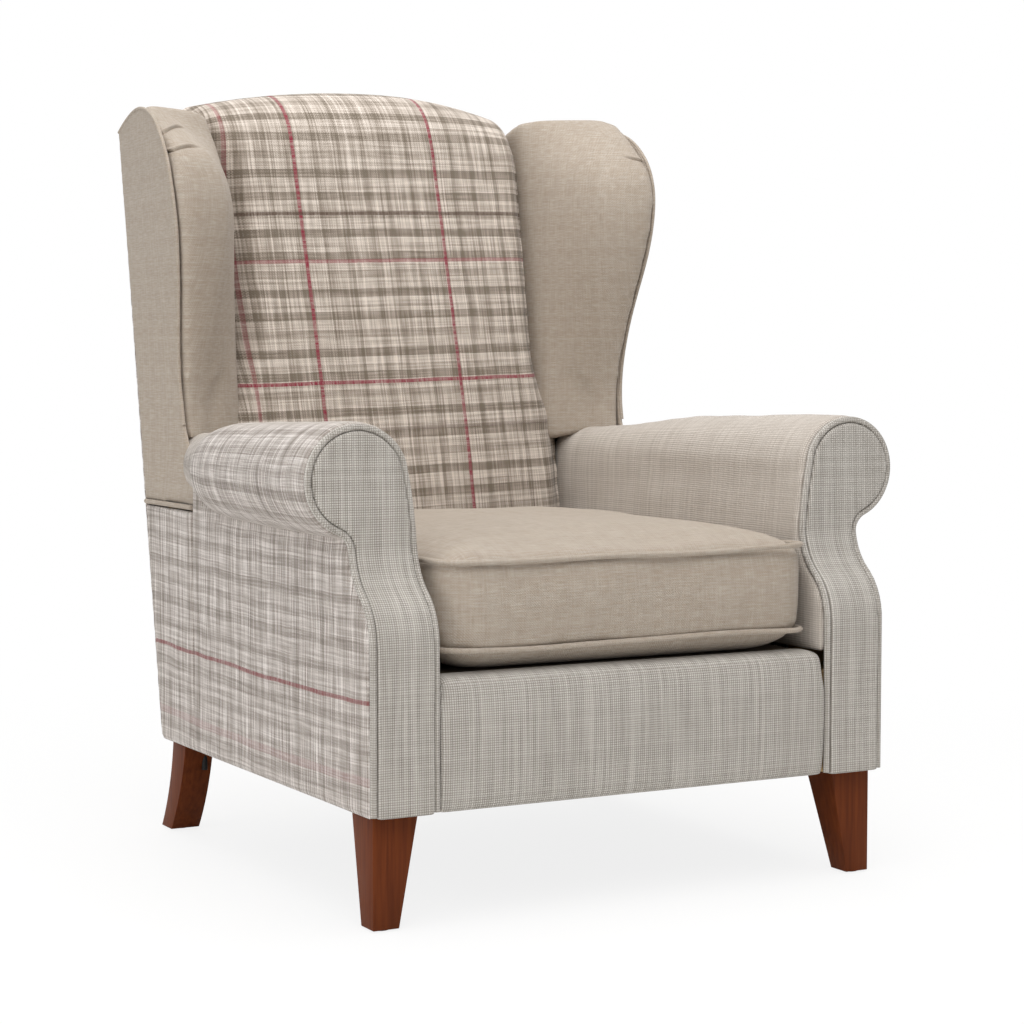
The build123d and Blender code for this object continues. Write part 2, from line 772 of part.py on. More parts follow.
def bolt_places():
    """The middles of the bolts in the right-hand legs."""
    front_x = front_leg_half - front_leg_top * bolt_share_across
    back_x = back_leg_half - back_leg_width * bolt_share_across
    front = (front_x, front_leg_y + front_leg_top * bolt_share_deep)
    return [front, (back_x, back_leg_top_y + back_bolt_setback)]


def drilled(piece):
    """A piece with the leg bolts' bores cut out of it, a close fit round the bolts."""
    for x, y in bolt_places():
        bore = Cylinder(bolt_diameter / 2 + bolt_fit, bolt_length + 2 * bolt_fit)
        hole = Pos(x, y, underside_height - bolt_in_leg + bolt_length / 2) * bore
        piece = piece - hole - other_side(hole)
    return piece


def leg_bolts():
    bolts = []
    for x, y in bolt_places():
        bolt = Pos(x, y, underside_height - bolt_in_leg + bolt_length / 2) * Cylinder(
            bolt_diameter / 2, bolt_length)
        bolts.append(bolt)
        bolts.append(other_side(bolt))
    return Compound(children=bolts)


def foot_glides():
    """Nail-on glides under the feet."""
    front = (front_leg_half - front_leg_foot / 2, front_leg_y + front_leg_foot / 2)
    back = (back_leg_half - back_leg_width / 2, back_leg_foot_y + back_leg_foot_depth / 2)
    glides = []
    for x, y in (front, back):
        glide = Pos(x, y, glide_thickness / 2) * Cylinder(glide_diameter / 2, glide_thickness)
        glides.append(glide)
        glides.append(other_side(glide))
    return Compound(children=glides)


# ---- seat cushion ----

def cushion_rectangle(inset, height):
    """Level section of the cushion, drawn in from the seam line by an inset."""
    seam = cushion_piping + inset
    width = 2 * (cushion_half_width - seam)
    depth = cushion_back_y - cushion_front_y - 2 * seam
    middle = (cushion_front_y + cushion_back_y) / 2
    return Pos(0, middle, height) * RectangleRounded(width, depth, cushion_corner)


def cushion_form(skin=0.0):
    """Box cushion: border drawn in between its seams, crowned top and fuller underside."""
    low = cushion_bottom_seam
    high = cushion_top_seam
    middle = (low + high) / 2
    border = loft([
        cushion_rectangle(skin, low),
        cushion_rectangle(cushion_draw_in + skin, middle),
        cushion_rectangle(skin, high),
    ])
    rise = cushion_crown_height - high - skin
    drop = low - deck_top - skin
    crown = [cushion_rectangle(skin, high)]
    for inset, share in crown_steps:
        crown.append(cushion_rectangle(skin + inset, high + rise * share))
    belly = [cushion_rectangle(skin, low)]
    for inset, share in belly_steps:
        belly.append(cushion_rectangle(skin + inset, low - drop * share))
    return border + loft(crown) + loft(belly)


def cushion_cover():
    return cushion_form() - cushion_form(cover_thickness)


def cushion_core():
    return cushion_form(cover_thickness + core_fit)


def cushion_seam_piping(height):
    """One ring of piping, just outside the cover's seam."""
    inset = cushion_piping / 2
    width = 2 * (cushion_half_width - inset)
    depth = cushion_back_y - cushion_front_y - 2 * inset
    middle = (cushion_front_y + cushion_back_y) / 2
    ring = RectangleRounded(width, depth, cushion_corner + cushion_piping / 2)
    path = Pos(0, middle, height) * ring.wire()
    section = Plane(path @ 0, z_dir=path % 0) * Circle(cushion_piping / 2 - piping_fit)
    return sweep(section, path=path)


def zip_face_y():
    return cushion_back_y - cushion_piping - cushion_draw_in


def cushion_zip():
    """Zip tape along the middle of the cushion's back border."""
    middle = (cushion_bottom_seam + cushion_top_seam) / 2
    face = zip_face_y() + zip_stand_off
    return block(-zip_length / 2, zip_length / 2, face, face + zip_thickness,
                 middle - zip_width / 2, middle + zip_width / 2)


def zip_slider():
    """Slider at the closed end of the zip."""
    middle = (cushion_bottom_seam + cushion_top_seam) / 2
    face = zip_face_y() + zip_stand_off + zip_thickness + slider_clearance
    start = -zip_length / 2 + slider_length / 2
    return block(start, start + slider_length, face, face + slider_thickness,
                 middle - slider_width / 2, middle + slider_width / 2)


def build_pieces():
    """Every piece of the chair under its name."""
    pieces = {
        "front_rail": front_rail(),
        "back_seat_rail": back_seat_rail(),
        "corner_blocks": corner_blocks(),
        "crest_rail": crest_rail(),
        "tacking_rail": tacking_rail(),
        "back_webbing": back_webbing(),
        "zigzag_springs": zigzag_springs(),
        "spring_clips": spring_clips(),
        "seat_deck": seat_deck(),
        "front_border": front_border(),
        "inside_back": inside_back(),
        "outside_back": outside_back(),
        "dust_cover": dust_cover(),
        "leg_bolts": leg_bolts(),
        "foot_glides": foot_glides(),
        "cushion_cover": cushion_cover(),
        "cushion_core": cushion_core(),
        "cushion_top_piping": cushion_seam_piping(cushion_top_seam),
        "cushion_bottom_piping": cushion_seam_piping(cushion_bottom_seam),
        "cushion_zip": cushion_zip(),
        "zip_slider": zip_slider(),
    }
    paired = {
        "side_rail": side_rail(),
        "arm_post": arm_post(),
        "arm_rail": arm_rail(),
        "back_post": back_post(),
        "wing_board": wing_board(),
        "facing": facing(),
        "facing_piping": facing_edge_piping(),
        "arm_pad": arm_pad(),
        "outside_arm": outside_arm(),
        "rear_side": rear_side(),
        "wing_pad": wing_pad(),
        "outer_wing": outer_wing(),
        "wing_base_piping": wing_base_piping(),
        "front_leg": front_leg(),
        "back_leg": back_leg(),
    }
    for name, piece in paired.items():
        pieces["right_" + name] = piece
        pieces["left_" + name] = other_side(piece)
    return pieces


def main():
    pieces = build_pieces()
    boxes = [piece.bounding_box() for piece in pieces.values()]
    front = min(box.min.Y for box in boxes)
    rear = max(box.max.Y for box in boxes)
    os.makedirs("parts", exist_ok=True)
    for name, piece in pieces.items():
        export_step(Pos(0, -(front + rear) / 2, 0) * piece, "parts/" + name + ".step")


main()
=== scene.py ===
import json
from contextlib import contextmanager
from math import cos, pi, radians, sin, sqrt

import bmesh
import bpy
import numpy as np
from mathutils import Matrix, Vector


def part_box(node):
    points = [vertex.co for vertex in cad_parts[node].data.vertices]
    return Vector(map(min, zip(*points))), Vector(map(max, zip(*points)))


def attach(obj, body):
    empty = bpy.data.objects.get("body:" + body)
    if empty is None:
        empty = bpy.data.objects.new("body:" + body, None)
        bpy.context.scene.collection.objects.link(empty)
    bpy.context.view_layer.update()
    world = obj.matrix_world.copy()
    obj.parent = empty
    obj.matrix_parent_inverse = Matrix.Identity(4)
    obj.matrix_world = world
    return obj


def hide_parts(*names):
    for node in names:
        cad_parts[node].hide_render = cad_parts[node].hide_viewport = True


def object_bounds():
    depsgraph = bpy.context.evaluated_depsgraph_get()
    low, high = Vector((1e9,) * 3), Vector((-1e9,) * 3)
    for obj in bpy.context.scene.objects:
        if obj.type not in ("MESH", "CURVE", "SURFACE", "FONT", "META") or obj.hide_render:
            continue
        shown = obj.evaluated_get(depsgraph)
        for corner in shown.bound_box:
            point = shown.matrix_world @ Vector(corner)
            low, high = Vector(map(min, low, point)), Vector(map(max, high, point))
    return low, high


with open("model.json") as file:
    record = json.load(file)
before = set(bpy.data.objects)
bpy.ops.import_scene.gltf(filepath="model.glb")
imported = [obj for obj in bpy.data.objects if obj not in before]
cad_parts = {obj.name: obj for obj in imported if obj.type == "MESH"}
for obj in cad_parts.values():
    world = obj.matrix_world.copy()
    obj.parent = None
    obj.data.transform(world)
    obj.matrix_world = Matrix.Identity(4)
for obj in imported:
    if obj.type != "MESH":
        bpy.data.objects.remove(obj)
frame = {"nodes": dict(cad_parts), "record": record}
CAD_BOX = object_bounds()
FRONT = CAD_BOX[0].y

bl_info = {
    "name": "Fireside chair",
    "version": (1, 0, 0),
    "blender": (4, 5, 0),
    "location": "View3D > Sidebar > Chair",
    "description": "Upholsters a wing-back fireside chair over its packed frame",
    "category": "Object",
}

SIDES = (("right", 1), ("left", -1))

# Edge length of each even mesh, in metres. The thin panels need the small ones.
VOXELS = {
    "seat_cushion": 0.0078,
    "inside_back": 0.0072,
    "wing_pad": 0.0052,
    "arm_pad": 0.0062,
    "outer_wing": 0.003,
    "facing": 0.003,
    "front_border": 0.004,
    "side_panel": 0.0035,
    "outside_back": 0.005,
    "seat_deck": 0.006,
}
# Frames and steps of each cloth simulation.
CLOTH_FRAMES = 15
CLOTH_QUALITY = 4
# The camera that matches the photograph: place in metres, tilt and turn in degrees, lens in mm.
CAMERA_PLACE = (-1.5865, -3.0082, 0.6929)
CAMERA_TILT = -3.7
CAMERA_TURN = -28.6
CAMERA_LENS = 84.4
# Light of the studio's surroundings, and what the camera and reflections see above it.
SOFT_LIGHT = 0.39
SEEN_LIGHT = 0.61


def linear(hex_colour):
    """A linear RGBA colour from an sRGB hex string."""
    parts = [int(hex_colour[i:i + 2], 16) / 255 for i in (1, 3, 5)]
    return [p / 12.92 if p <= 0.04045 else ((p + 0.055) / 1.055) ** 2.4 for p in parts] + [1.0]


def length_value(name, description, default):
    return bpy.props.FloatProperty(name=name, description=description, default=default,
                                   unit="LENGTH")


def colour_value(name, description, hex_colour):
    return bpy.props.FloatVectorProperty(name=name, description=description, size=4, min=0.0,
                                         max=1.0, default=linear(hex_colour), subtype="COLOR")


class ChairSizes(bpy.types.PropertyGroup):
    """Sizes of the upholstery, in metres."""

    body_half: length_value("Body half width", "Outside arm panel from the middle", 0.3775)
    facing_inner_half: length_value("Facing edge", "A facing's inner edge from the middle", 0.285)
    underside: length_value("Underside", "Underside of the body above the floor", 0.140)
    scroll_half: length_value("Scroll middle", "Middle of the scroll from the chair's middle", 0.3655)
    scroll_height: length_value("Scroll height", "Middle of the scroll above the floor", 0.543)
    scroll_radius: length_value("Scroll radius", "Radius of the scroll arms", 0.0695)
    neck_radius: length_value("Neck radius", "Hollow under the scroll", 0.025)
    lean_height: length_value("Lean height", "Where a facing's inner edge leans out", 0.430)
    sweep_bottom: length_value("Sweep bottom", "Where the facings start to lean back", 0.345)
    sweep_top: length_value("Sweep top", "Where they are upright again", 0.468)
    sweep_depth: length_value("Sweep depth", "How far the scroll stands back", 0.060)
    facing_cord: length_value("Facing piping", "Radius of the piping round the facings", 0.0043)
    cushion_cord: length_value("Cushion piping", "Radius of the cushion's piping", 0.0036)
    wing_cord: length_value("Wing foot piping", "Radius of the piping under the wings' panels", 0.0036)
    edge_cord: length_value("Wing edge piping", "Radius of the piping round the wings' panels", 0.0026)
    low_seam: length_value("Lower cushion seam", "Height of the lower piping", 0.334)
    high_seam: length_value("Upper cushion seam", "Height of the upper piping", 0.443)
    border_swell: length_value("Border swell", "How far the cushion's border swells", 0.0150)
    cushion_corner: length_value("Cushion corner", "Corner radius along the piping", 0.034)
    swell_cap: length_value("Swell limit", "How far the stuffing may push the cloth", 0.012)


class ChairColours(bpy.types.PropertyGroup):
    """Colours of the cloths, the wood and the fittings."""

    plaid_ground: colour_value("Plaid ground", "Ecru ground of the plaid", "#AA9E92")
    plaid_light: colour_value("Plaid light", "Cream threads of the plaid", "#DDD2C7")
    plaid_dark: colour_value("Plaid dark", "Taupe bands of the plaid", "#74695C")
    plaid_brown: colour_value("Plaid brown", "Thin brown lines", "#56443A")
    plaid_red: colour_value("Plaid red", "Red lines", "#86263A")
    faded_ground: colour_value("Faded ground", "Ground of the faded plaid", "#A9A099")
    faded_light: colour_value("Faded light", "Light threads of the faded plaid", "#DFD8D3")
    faded_dark: colour_value("Faded dark", "Taupe bands of the faded plaid", "#7A7168")
    faded_red: colour_value("Faded red", "Red lines of the faded plaid", "#7E3238")
    check_light: colour_value("Check light", "Light threads of the small check", "#D2CDC6")
    check_dark: colour_value("Check dark", "Dark threads of the small check", "#7B746B")
    # Painted light: a lighter, warmer tint laid over the check on the arms' inner side and top. It
    # stands in for the brighter light that falls there, since the facings' check is the same cloth.
    arm_painted_light: colour_value("Arm painted light", "Warm tone of the arms' inner side", "#D2C3B5")
    beige: colour_value("Beige", "Plain beige cloth", "#AD9F8F")
    beige_dark: colour_value("Beige dark", "Its darker threads", "#8D7F70")
    stain: colour_value("Leg stain", "Mahogany stain on the legs", "#6E3515")
    stain_dark: colour_value("Leg grain", "Darker grain under the stain", "#431B09")
    floor: colour_value("Floor", "Plain pale floor", "#F4F3F1")


def sizes():
    return bpy.context.scene.chair_sizes


def colours():
    return bpy.context.scene.chair_colours


# ---- nodes and materials ----

def add_node(tree, kind, inputs=None, **settings):
    """Add a node; an input takes a plain value or another node's socket."""
    node = tree.nodes.new(kind)
    for key, value in settings.items():
        setattr(node, key, value)
    for key, value in (inputs or {}).items():
        if isinstance(value, bpy.types.NodeSocket):
            tree.links.new(value, node.inputs[key])
        else:
            node.inputs[key].default_value = value
    return node


def maths(tree, operation, *values, clamp=False):
    """The result of one Math node."""
    return add_node(tree, "ShaderNodeMath", dict(enumerate(values)), operation=operation,
                    use_clamp=clamp).outputs[0]


def new_material(name):
    material = bpy.data.materials.new(name)
    material.use_nodes = True
    tree = material.node_tree
    tree.nodes.clear()
    shader = add_node(tree, "ShaderNodeBsdfPrincipled")
    add_node(tree, "ShaderNodeOutputMaterial", {"Surface": shader.outputs[0]})
    return material, tree, shader


def ramp(tree, factor, stops, interpolation="LINEAR"):
    """A colour ramp with these (position, grey level) stops."""
    node = add_node(tree, "ShaderNodeValToRGB", {"Fac": factor})
    elements = node.color_ramp.elements
    node.color_ramp.interpolation = interpolation
    while len(elements) < len(stops):
        elements.new(1.0)
    for element, (position, level) in zip(elements, stops):
        element.position = position
        element.color = (level, level, level, 1.0)
    return node.outputs[0]


def cloth_axes(tree, wobble=0.0012):
    """The cloth's own across and along coordinates in metres, a little wavy as woven cloth is."""
    chart = add_node(tree, "ShaderNodeUVMap", uv_map="cloth")
    noise = add_node(tree, "ShaderNodeTexNoise",
                     {"Vector": chart.outputs[0], "Scale": 14.0, "Detail": 1.0})
    reach = (wobble * 2, wobble * 2, 0.0)
    shift = add_node(tree, "ShaderNodeVectorMath",
                     {0: noise.outputs["Color"], 1: reach, 2: (-wobble, -wobble, 0.0)},
                     operation="MULTIPLY_ADD")
    moved = add_node(tree, "ShaderNodeVectorMath", {0: chart.outputs[0], 1: shift.outputs[0]})
    split = add_node(tree, "ShaderNodeSeparateXYZ", {0: moved.outputs[0]})
    return split.outputs[0], split.outputs[1]


def streaks(tree, across, along, width, length):
    """Slubs in the yarn: noise drawn out along the threads."""
    place = add_node(tree, "ShaderNodeCombineXYZ", {0: maths(tree, "MULTIPLY", across, 1 / width),
                                                    1: maths(tree, "MULTIPLY", along, 1 / length)})
    noise = add_node(tree, "ShaderNodeTexNoise",
                     {"Vector": place.outputs[0], "Scale": 1.0, "Detail": 2.0})
    return noise.outputs["Fac"]


def plain_weave(tree, across, along, pitch):
    """Threads that pass over and under each other: their height, 0 to 1, and the same from -1 to 1."""
    product = maths(tree, "MULTIPLY", *(maths(tree, "SINE", maths(tree, "MULTIPLY", axis, pi / pitch))
                                        for axis in (across, along)))
    return scaled(tree, product, 0.5, 0.5), product


def mixed(tree, factor, first, second, blend="MIX"):
    """A mix of two colours by a factor."""
    node = add_node(tree, "ShaderNodeMix", data_type="RGBA", blend_type=blend)
    for index, value in ((0, factor), (6, first), (7, second)):
        if isinstance(value, bpy.types.NodeSocket):
            tree.links.new(value, node.inputs[index])
        else:
            node.inputs[index].default_value = value if index == 0 else tuple(value)
    return node.outputs[2]


def scaled(tree, value, factor, offset=0.0):
    return maths(tree, "MULTIPLY_ADD", value, factor, offset)


def add_bump(tree, shader, height, depth, strength):
    bump = add_node(tree, "ShaderNodeBump", {"Height": height, "Distance": depth, "Strength": strength})
    tree.links.new(bump.outputs[0], shader.inputs["Normal"])


def set_inputs(shader, **values):
    """Set a shader's plain values; an underscore stands for a space."""
    for key, value in values.items():
        shader.inputs[key.replace("_", " ")].default_value = value


def finish_cloth(tree, shader, colour, height, depth):
    """Join colour and thread height to a dull, slightly fuzzy cloth."""
    tree.links.new(colour, shader.inputs["Base Color"])
    set_inputs(shader, Roughness=0.92, Specular_IOR_Level=0.25, Sheen_Weight=0.12, Sheen_Roughness=0.5)
    add_bump(tree, shader, height, depth, 0.8)


# Distance between two threads of each cloth, in metres. The check's real cells are 2.5 mm.
PLAID_PITCH = 0.0019
FADED_PITCH = 0.0021
TONE_PITCH = 0.0018
BEIGE_PITCH = 0.0017
CHECK_PITCH = 0.0030
# Repeat of the plaid's bands along the weft and the warp, in metres, and where their darkness changes.
WEFT_REPEAT = 0.089
WEFT_BANDS = ((0.0, 0.05), (0.04, 0.3), (0.07, 0.0), (0.13, 0.55), (0.26, 0.05), (0.33, 0.3),
              (0.36, 0.0), (0.43, 0.95), (0.57, 0.1), (0.64, 0.4), (0.68, 0.0), (0.81, 1.0),
              (0.95, 0.05))
WARP_REPEAT = 0.076
WARP_BANDS = ((0.0, 0.75), (0.14, 0.1), (0.2, 0.4), (0.24, 0.0), (0.36, 0.3), (0.47, 0.0),
              (0.55, 0.9), (0.66, 0.2), (0.7, 0.5), (0.74, 0.0), (0.88, 0.4), (0.93, 0.0))
# Darkness of the bands in the warp and in the weft, unevenness of both yarns, and the darkness of all.
PLAID_CONTRAST = (0.60, 0.92, 0.62, 0.42, -0.02)
FADED_CONTRAST = (0.45, 0.44, 0.85, 0.45, -0.03)
# Single lines of the plaids: middle on the cloth and width, in metres, and strength.
RED_WARPS = ((-0.142, 0.0066, 1.0), (0.087, 0.0062, 0.95), (-0.242, 0.008, 0.6))
RED_WEFTS = ((0.657, 0.0060, 1.0), (0.834, 0.0026, 0.7), (1.084, 0.004, 0.5))
BROWN_WEFTS = ((0.906, 0.0026, 0.9), (0.998, 0.0024, 0.8), (0.584, 0.0022, 0.6))
FADED_RED_WEFTS = ((0.275, 0.0050, 0.9), (0.181, 0.008, 0.35))
FADED_BROWN_WEFTS = ((0.366, 0.002, 0.6),)
# Length of cloth that a set of single lines can spread over, in metres, and the middle of the wefts.
LINES_SPAN = 1.4
WEFTS_CENTRE = 0.6


def bands(tree, axis, repeat, stops):
    """Shade of a repeating set of bands across one axis."""
    return ramp(tree, maths(tree, "FRACT", maths(tree, "MULTIPLY", axis, 1 / repeat)), stops, "CONSTANT")


def lines(tree, axis, places, centre):
    """Single lines across one axis; each place is a middle, a width and a strength."""
    stops = [(0.0, 0.0)]
    for middle, width, strength in sorted(places):
        stops.append(((middle - centre - width / 2) / LINES_SPAN + 0.5, strength))
        stops.append(((middle - centre + width / 2) / LINES_SPAN + 0.5, 0.0))
    return ramp(tree, scaled(tree, axis, 1 / LINES_SPAN, 0.5 - centre / LINES_SPAN), stops, "CONSTANT")


def thread_tone(tree, axis, pitch, seed):
    """A random tone for each thread across one axis, 0 to 1."""
    number = maths(tree, "FLOOR", scaled(tree, axis, 1 / pitch, seed))
    return add_node(tree, "ShaderNodeTexWhiteNoise", {"W": number}, noise_dimensions="1D").outputs[0]


def added(tree, first, second):
    return maths(tree, "ADD", first, second)


def thread_shade(tree, axis, other, repeat, stops, share, uneven, seed):
    """Darkness of the threads across one axis, 0 to 1: their bands, uneven yarn, then single threads."""
    band = bands(tree, axis, repeat, stops)
    yarn = ramp(tree, streaks(tree, axis, other, 0.0026, 0.08), ((0.38, 0.0), (0.62, 1.0)))
    tone = thread_tone(tree, axis, TONE_PITCH, seed)
    shade = added(tree, scaled(tree, band, share), scaled(tree, yarn, uneven, -0.2 * uneven))
    return added(tree, shade, scaled(tree, tone, 0.8 * uneven, -0.15 * uneven))


def plaid_colour(tree, across, along, shades, contrast, red_warps, red_wefts, brown_wefts):
    """Woven plaid: each point shows warp and weft about equally, and single lines cross it."""
    ground, light, dark, red, brown = shades
    warp_share, weft_share, warp_uneven, weft_uneven, base = contrast
    product = plain_weave(tree, across, along, PLAID_PITCH)[1]
    warp = thread_shade(tree, across, along, WARP_REPEAT, WARP_BANDS, warp_share, warp_uneven, 7.0)
    weft = thread_shade(tree, along, across, WEFT_REPEAT, WEFT_BANDS, weft_share, weft_uneven, 19.0)
    over = maths(tree, "MULTIPLY", warp, scaled(tree, product, 0.22, 0.5))
    under = maths(tree, "MULTIPLY", weft, scaled(tree, product, -0.22, 0.5))
    shade = scaled(tree, added(tree, over, under), 1.0, base)
    colour = mixed(tree, ramp(tree, shade, ((0.0, 0.0), (0.5, 1.0))), light, ground)
    colour = mixed(tree, ramp(tree, shade, ((0.5, 0.0), (1.0, 1.0))), colour, dark)
    sets = ((across, along, red_warps, red, 0.0), (along, across, red_wefts, red, WEFTS_CENTRE),
            (along, across, brown_wefts, brown, WEFTS_CENTRE))
    for axis, other, places, tint, centre in sets:
        if places:
            broken = scaled(tree, streaks(tree, other, axis, 0.0022, 0.012), 1.5, -0.02)
            share = maths(tree, "MULTIPLY", lines(tree, axis, places, centre), broken, clamp=True)
            colour = mixed(tree, share, colour, tint)
    return colour


def plaid_cloth():
    """Brushed wool-mix plaid: soft dry cloth in ecru, taupe and cream with thin red overchecks."""
    material, tree, shader = new_material("warm_plaid_cloth")
    c = colours()
    across, along = cloth_axes(tree)
    shades = (c.plaid_ground, c.plaid_light, c.plaid_dark, c.plaid_red, c.plaid_brown)
    colour = plaid_colour(tree, across, along, shades, PLAID_CONTRAST, RED_WARPS, RED_WEFTS, BROWN_WEFTS)
    finish_cloth(tree, shader, colour, plain_weave(tree, across, along, PLAID_PITCH)[0], 0.0004)
    return material


def faded_plaid_colour(tree, across, along):
    c = colours()
    shades = (c.faded_ground, c.faded_light, c.faded_dark, c.faded_red, c.plaid_brown)
    return plaid_colour(tree, across, along, shades, FADED_CONTRAST, (), FADED_RED_WEFTS,
                        FADED_BROWN_WEFTS)


def faded_plaid_cloth():
    """The same plaid from the cloth's reverse: cooler and paler, so that the bands show faintly."""
    material, tree, shader = new_material("faded_plaid_cloth")
    across, along = cloth_axes(tree, 0.0025)
    colour = faded_plaid_colour(tree, across, along)
    finish_cloth(tree, shader, colour, plain_weave(tree, across, along, FADED_PITCH)[0], 0.0004)
    return material


def check_colour(tree, across, along):
    """Small check: light squares between darker threads, and the height of its cells."""
    c = colours()
    cell = maths(tree, "ABSOLUTE", plain_weave(tree, across, along, CHECK_PITCH)[1])
    light = ramp(tree, cell, ((0.10, 0.0), (0.70, 0.9)))
    colour = mixed(tree, light, c.check_dark, c.check_light)
    for axis, seed, share in ((across, 3.0, 0.32), (along, 11.0, 0.18)):
        tone = thread_tone(tree, axis, CHECK_PITCH, seed)
        colour = mixed(tree, scaled(tree, tone, share, -0.05), colour, c.check_dark)
        bright = ramp(tree, tone, ((0.0, 1.0), (0.35, 0.0)))
        colour = mixed(tree, scaled(tree, bright, 0.5 * share), colour, c.check_light)
    warp_streak = streaks(tree, across, along, 0.006, 0.10)
    colour = mixed(tree, scaled(tree, warp_streak, 0.8, -0.25), colour, c.check_light)
    return colour, cell


def check_cloth():
    """Basket-woven small check in greige: crisp little squares, dry, with streaks in the yarn."""
    material, tree, shader = new_material("small_check_cloth")
    across, along = cloth_axes(tree, 0.0006)
    colour, cell = check_colour(tree, across, along)
    finish_cloth(tree, shader, colour, cell, 0.0006)
    return material


def arm_cloth():
    """The arm's cloth: plaid on the roll's outer side, which fades to the small check over its top; that
    check carries a painted-light tint, lighter and warmer.
    """
    material, tree, shader = new_material("arm_cloth")
    across, along = cloth_axes(tree, 0.0015)
    plaid = faded_plaid_colour(tree, across, along)
    check, cell = check_colour(tree, across, along)
    place = add_node(tree, "ShaderNodeTexCoord")
    split = add_node(tree, "ShaderNodeSeparateXYZ", {0: place.outputs["Object"]})
    half = maths(tree, "ABSOLUTE", split.outputs[0])
    start = sizes().scroll_half - 0.02
    share = add_node(tree, "ShaderNodeMapRange", {0: half, 1: start, 2: start + 0.05})
    # Painted light: 30% of a lighter, warmer tint over the check on the arms' inner side and top,
    # standing in for the light that falls there; the roll's outer side keeps the plaid.
    painted_light_check = mixed(tree, 0.30, check, colours().arm_painted_light)
    colour = mixed(tree, share.outputs[0], painted_light_check, plaid)
    finish_cloth(tree, shader, colour, cell, 0.0005)
    return material


def beige_cloth():
    """Plain woven linen mix: matt oatmeal, close weave with fine slubs and a little mottling."""
    material, tree, shader = new_material("beige_linen_cloth")
    c = colours()
    across, along = cloth_axes(tree, 0.0008)
    height, product = plain_weave(tree, across, along, BEIGE_PITCH)
    warp_streak = streaks(tree, across, along, 0.0015, 0.02)
    weft_streak = streaks(tree, along, across, 0.0015, 0.02)
    chart = add_node(tree, "ShaderNodeUVMap", uv_map="cloth")
    mottle = add_node(tree, "ShaderNodeTexNoise",
                      {"Vector": chart.outputs[0], "Scale": 45.0, "Detail": 4.0})
    colour = mixed(tree, scaled(tree, product, 0.30, 0.25), c.beige, c.beige_dark)
    for axis, seed in ((across, 5.0), (along, 13.0)):
        tone = thread_tone(tree, axis, BEIGE_PITCH, seed)
        colour = mixed(tree, scaled(tree, tone, 0.16, -0.04), colour, c.check_light)
    colour = mixed(tree, scaled(tree, warp_streak, 1.1, -0.42), colour, c.beige_dark)
    colour = mixed(tree, scaled(tree, weft_streak, 0.9, -0.38), colour, c.check_light)
    colour = mixed(tree, scaled(tree, mottle.outputs["Fac"], 0.5, -0.15), colour, c.beige_dark)
    finish_cloth(tree, shader, colour, height, 0.0004)
    return material


def grain_of(tree, stretch, scale=1.0, detail=4.0):
    """Noise on the object's own coordinates, drawn out by a stretch."""
    place = add_node(tree, "ShaderNodeTexCoord")
    mapped = add_node(tree, "ShaderNodeMapping", {"Vector": place.outputs["Object"], "Scale": stretch})
    return add_node(tree, "ShaderNodeTexNoise",
                    {"Vector": mapped.outputs[0], "Scale": scale, "Detail": detail}).outputs["Fac"]


def stained_hardwood():
    """Beech stained to mahogany under satin lacquer: reddish brown, fine straight grain, soft gloss."""
    material, tree, shader = new_material("stained_hardwood")
    c = colours()
    grain = grain_of(tree, (220.0, 220.0, 9.0), detail=5.0)
    figure = grain_of(tree, (40.0, 40.0, 3.0), detail=2.0)
    colour = mixed(tree, ramp(tree, grain, ((0.35, 0.0), (0.75, 0.7))), c.stain, c.stain_dark)
    colour = mixed(tree, scaled(tree, figure, 0.6, -0.15), colour, c.stain_dark)
    tree.links.new(colour, shader.inputs["Base Color"])
    set_inputs(shader, Roughness=0.5, Specular_IOR_Level=0.12)
    add_bump(tree, shader, grain, 0.0002, 0.4)
    return material


def speckled(name, first, second, scale, roughness, metallic=0.0, stretch=(1.0, 1.0, 1.0)):
    """A plain finish with its fine mottling or grain."""
    material, tree, shader = new_material(name)
    noise = grain_of(tree, stretch, scale)
    level = ramp(tree, noise, ((0.35, 0.0), (0.65, 1.0)))
    tree.links.new(mixed(tree, level, linear(first), linear(second)), shader.inputs["Base Color"])
    set_inputs(shader, Roughness=roughness, Metallic=metallic)
    add_bump(tree, shader, noise, 0.0003, 0.5)
    return material


# What makes each finish, or for a plain one its material's name, two colours, mottling and shine.
FINISHES = {
    "plaid": plaid_cloth,
    "faded": faded_plaid_cloth,
    "check": check_cloth,
    "arm": arm_cloth,
    "beige": beige_cloth,
    "leg": stained_hardwood,
    # Sawn beech: pale, straight-grained and dry.
    "timber": ("sawn_beech", "#C9A878", "#B08D5E", 60.0, 0.7, 0.0, (1.0, 0.15, 1.0)),
    # Blackened steel bolt heads: dark and dull.
    "bolt": ("blackened_steel", "#2B2A29", "#1E1D1C", 900.0, 0.55, 0.6),
    # Drawn spring steel: grey, fairly bright.
    "steel": ("spring_steel", "#8E9094", "#6F7175", 900.0, 0.38, 1.0),
    # Woven elastic webbing: buff with coarse threads.
    "webbing": ("elastic_webbing", "#A8977A", "#7D6D54", 500.0, 0.9),
    # Platform cloth on the seat deck: dark brown and plain.
    "platform": ("platform_cloth", "#6B5C4B", "#544738", 700.0, 0.95),
    # Spun-bonded dust cover: black, matt and slightly fuzzy.
    "dust": ("spunbond_dust_cloth", "#17171A", "#26262A", 900.0, 0.9),
    # Moulded nylon glide: dark brown with a low shine.
    "nylon": ("moulded_nylon", "#2A211C", "#221A16", 300.0, 0.5),
    # Zip tape: woven polyester in beige.
    "tape": ("woven_zip_tape", "#9A8B7B", "#85776A", 900.0, 0.9),
    # Lacquered brass: warm yellow metal with a soft shine.
    "brass": ("lacquered_brass", "#B8924A", "#A37F3C", 700.0, 0.35, 1.0),
    # Staple wire: galvanised, light grey.
    "staple": ("galvanised_wire", "#A9ABAE", "#8C8E92", 800.0, 0.4, 1.0),
}


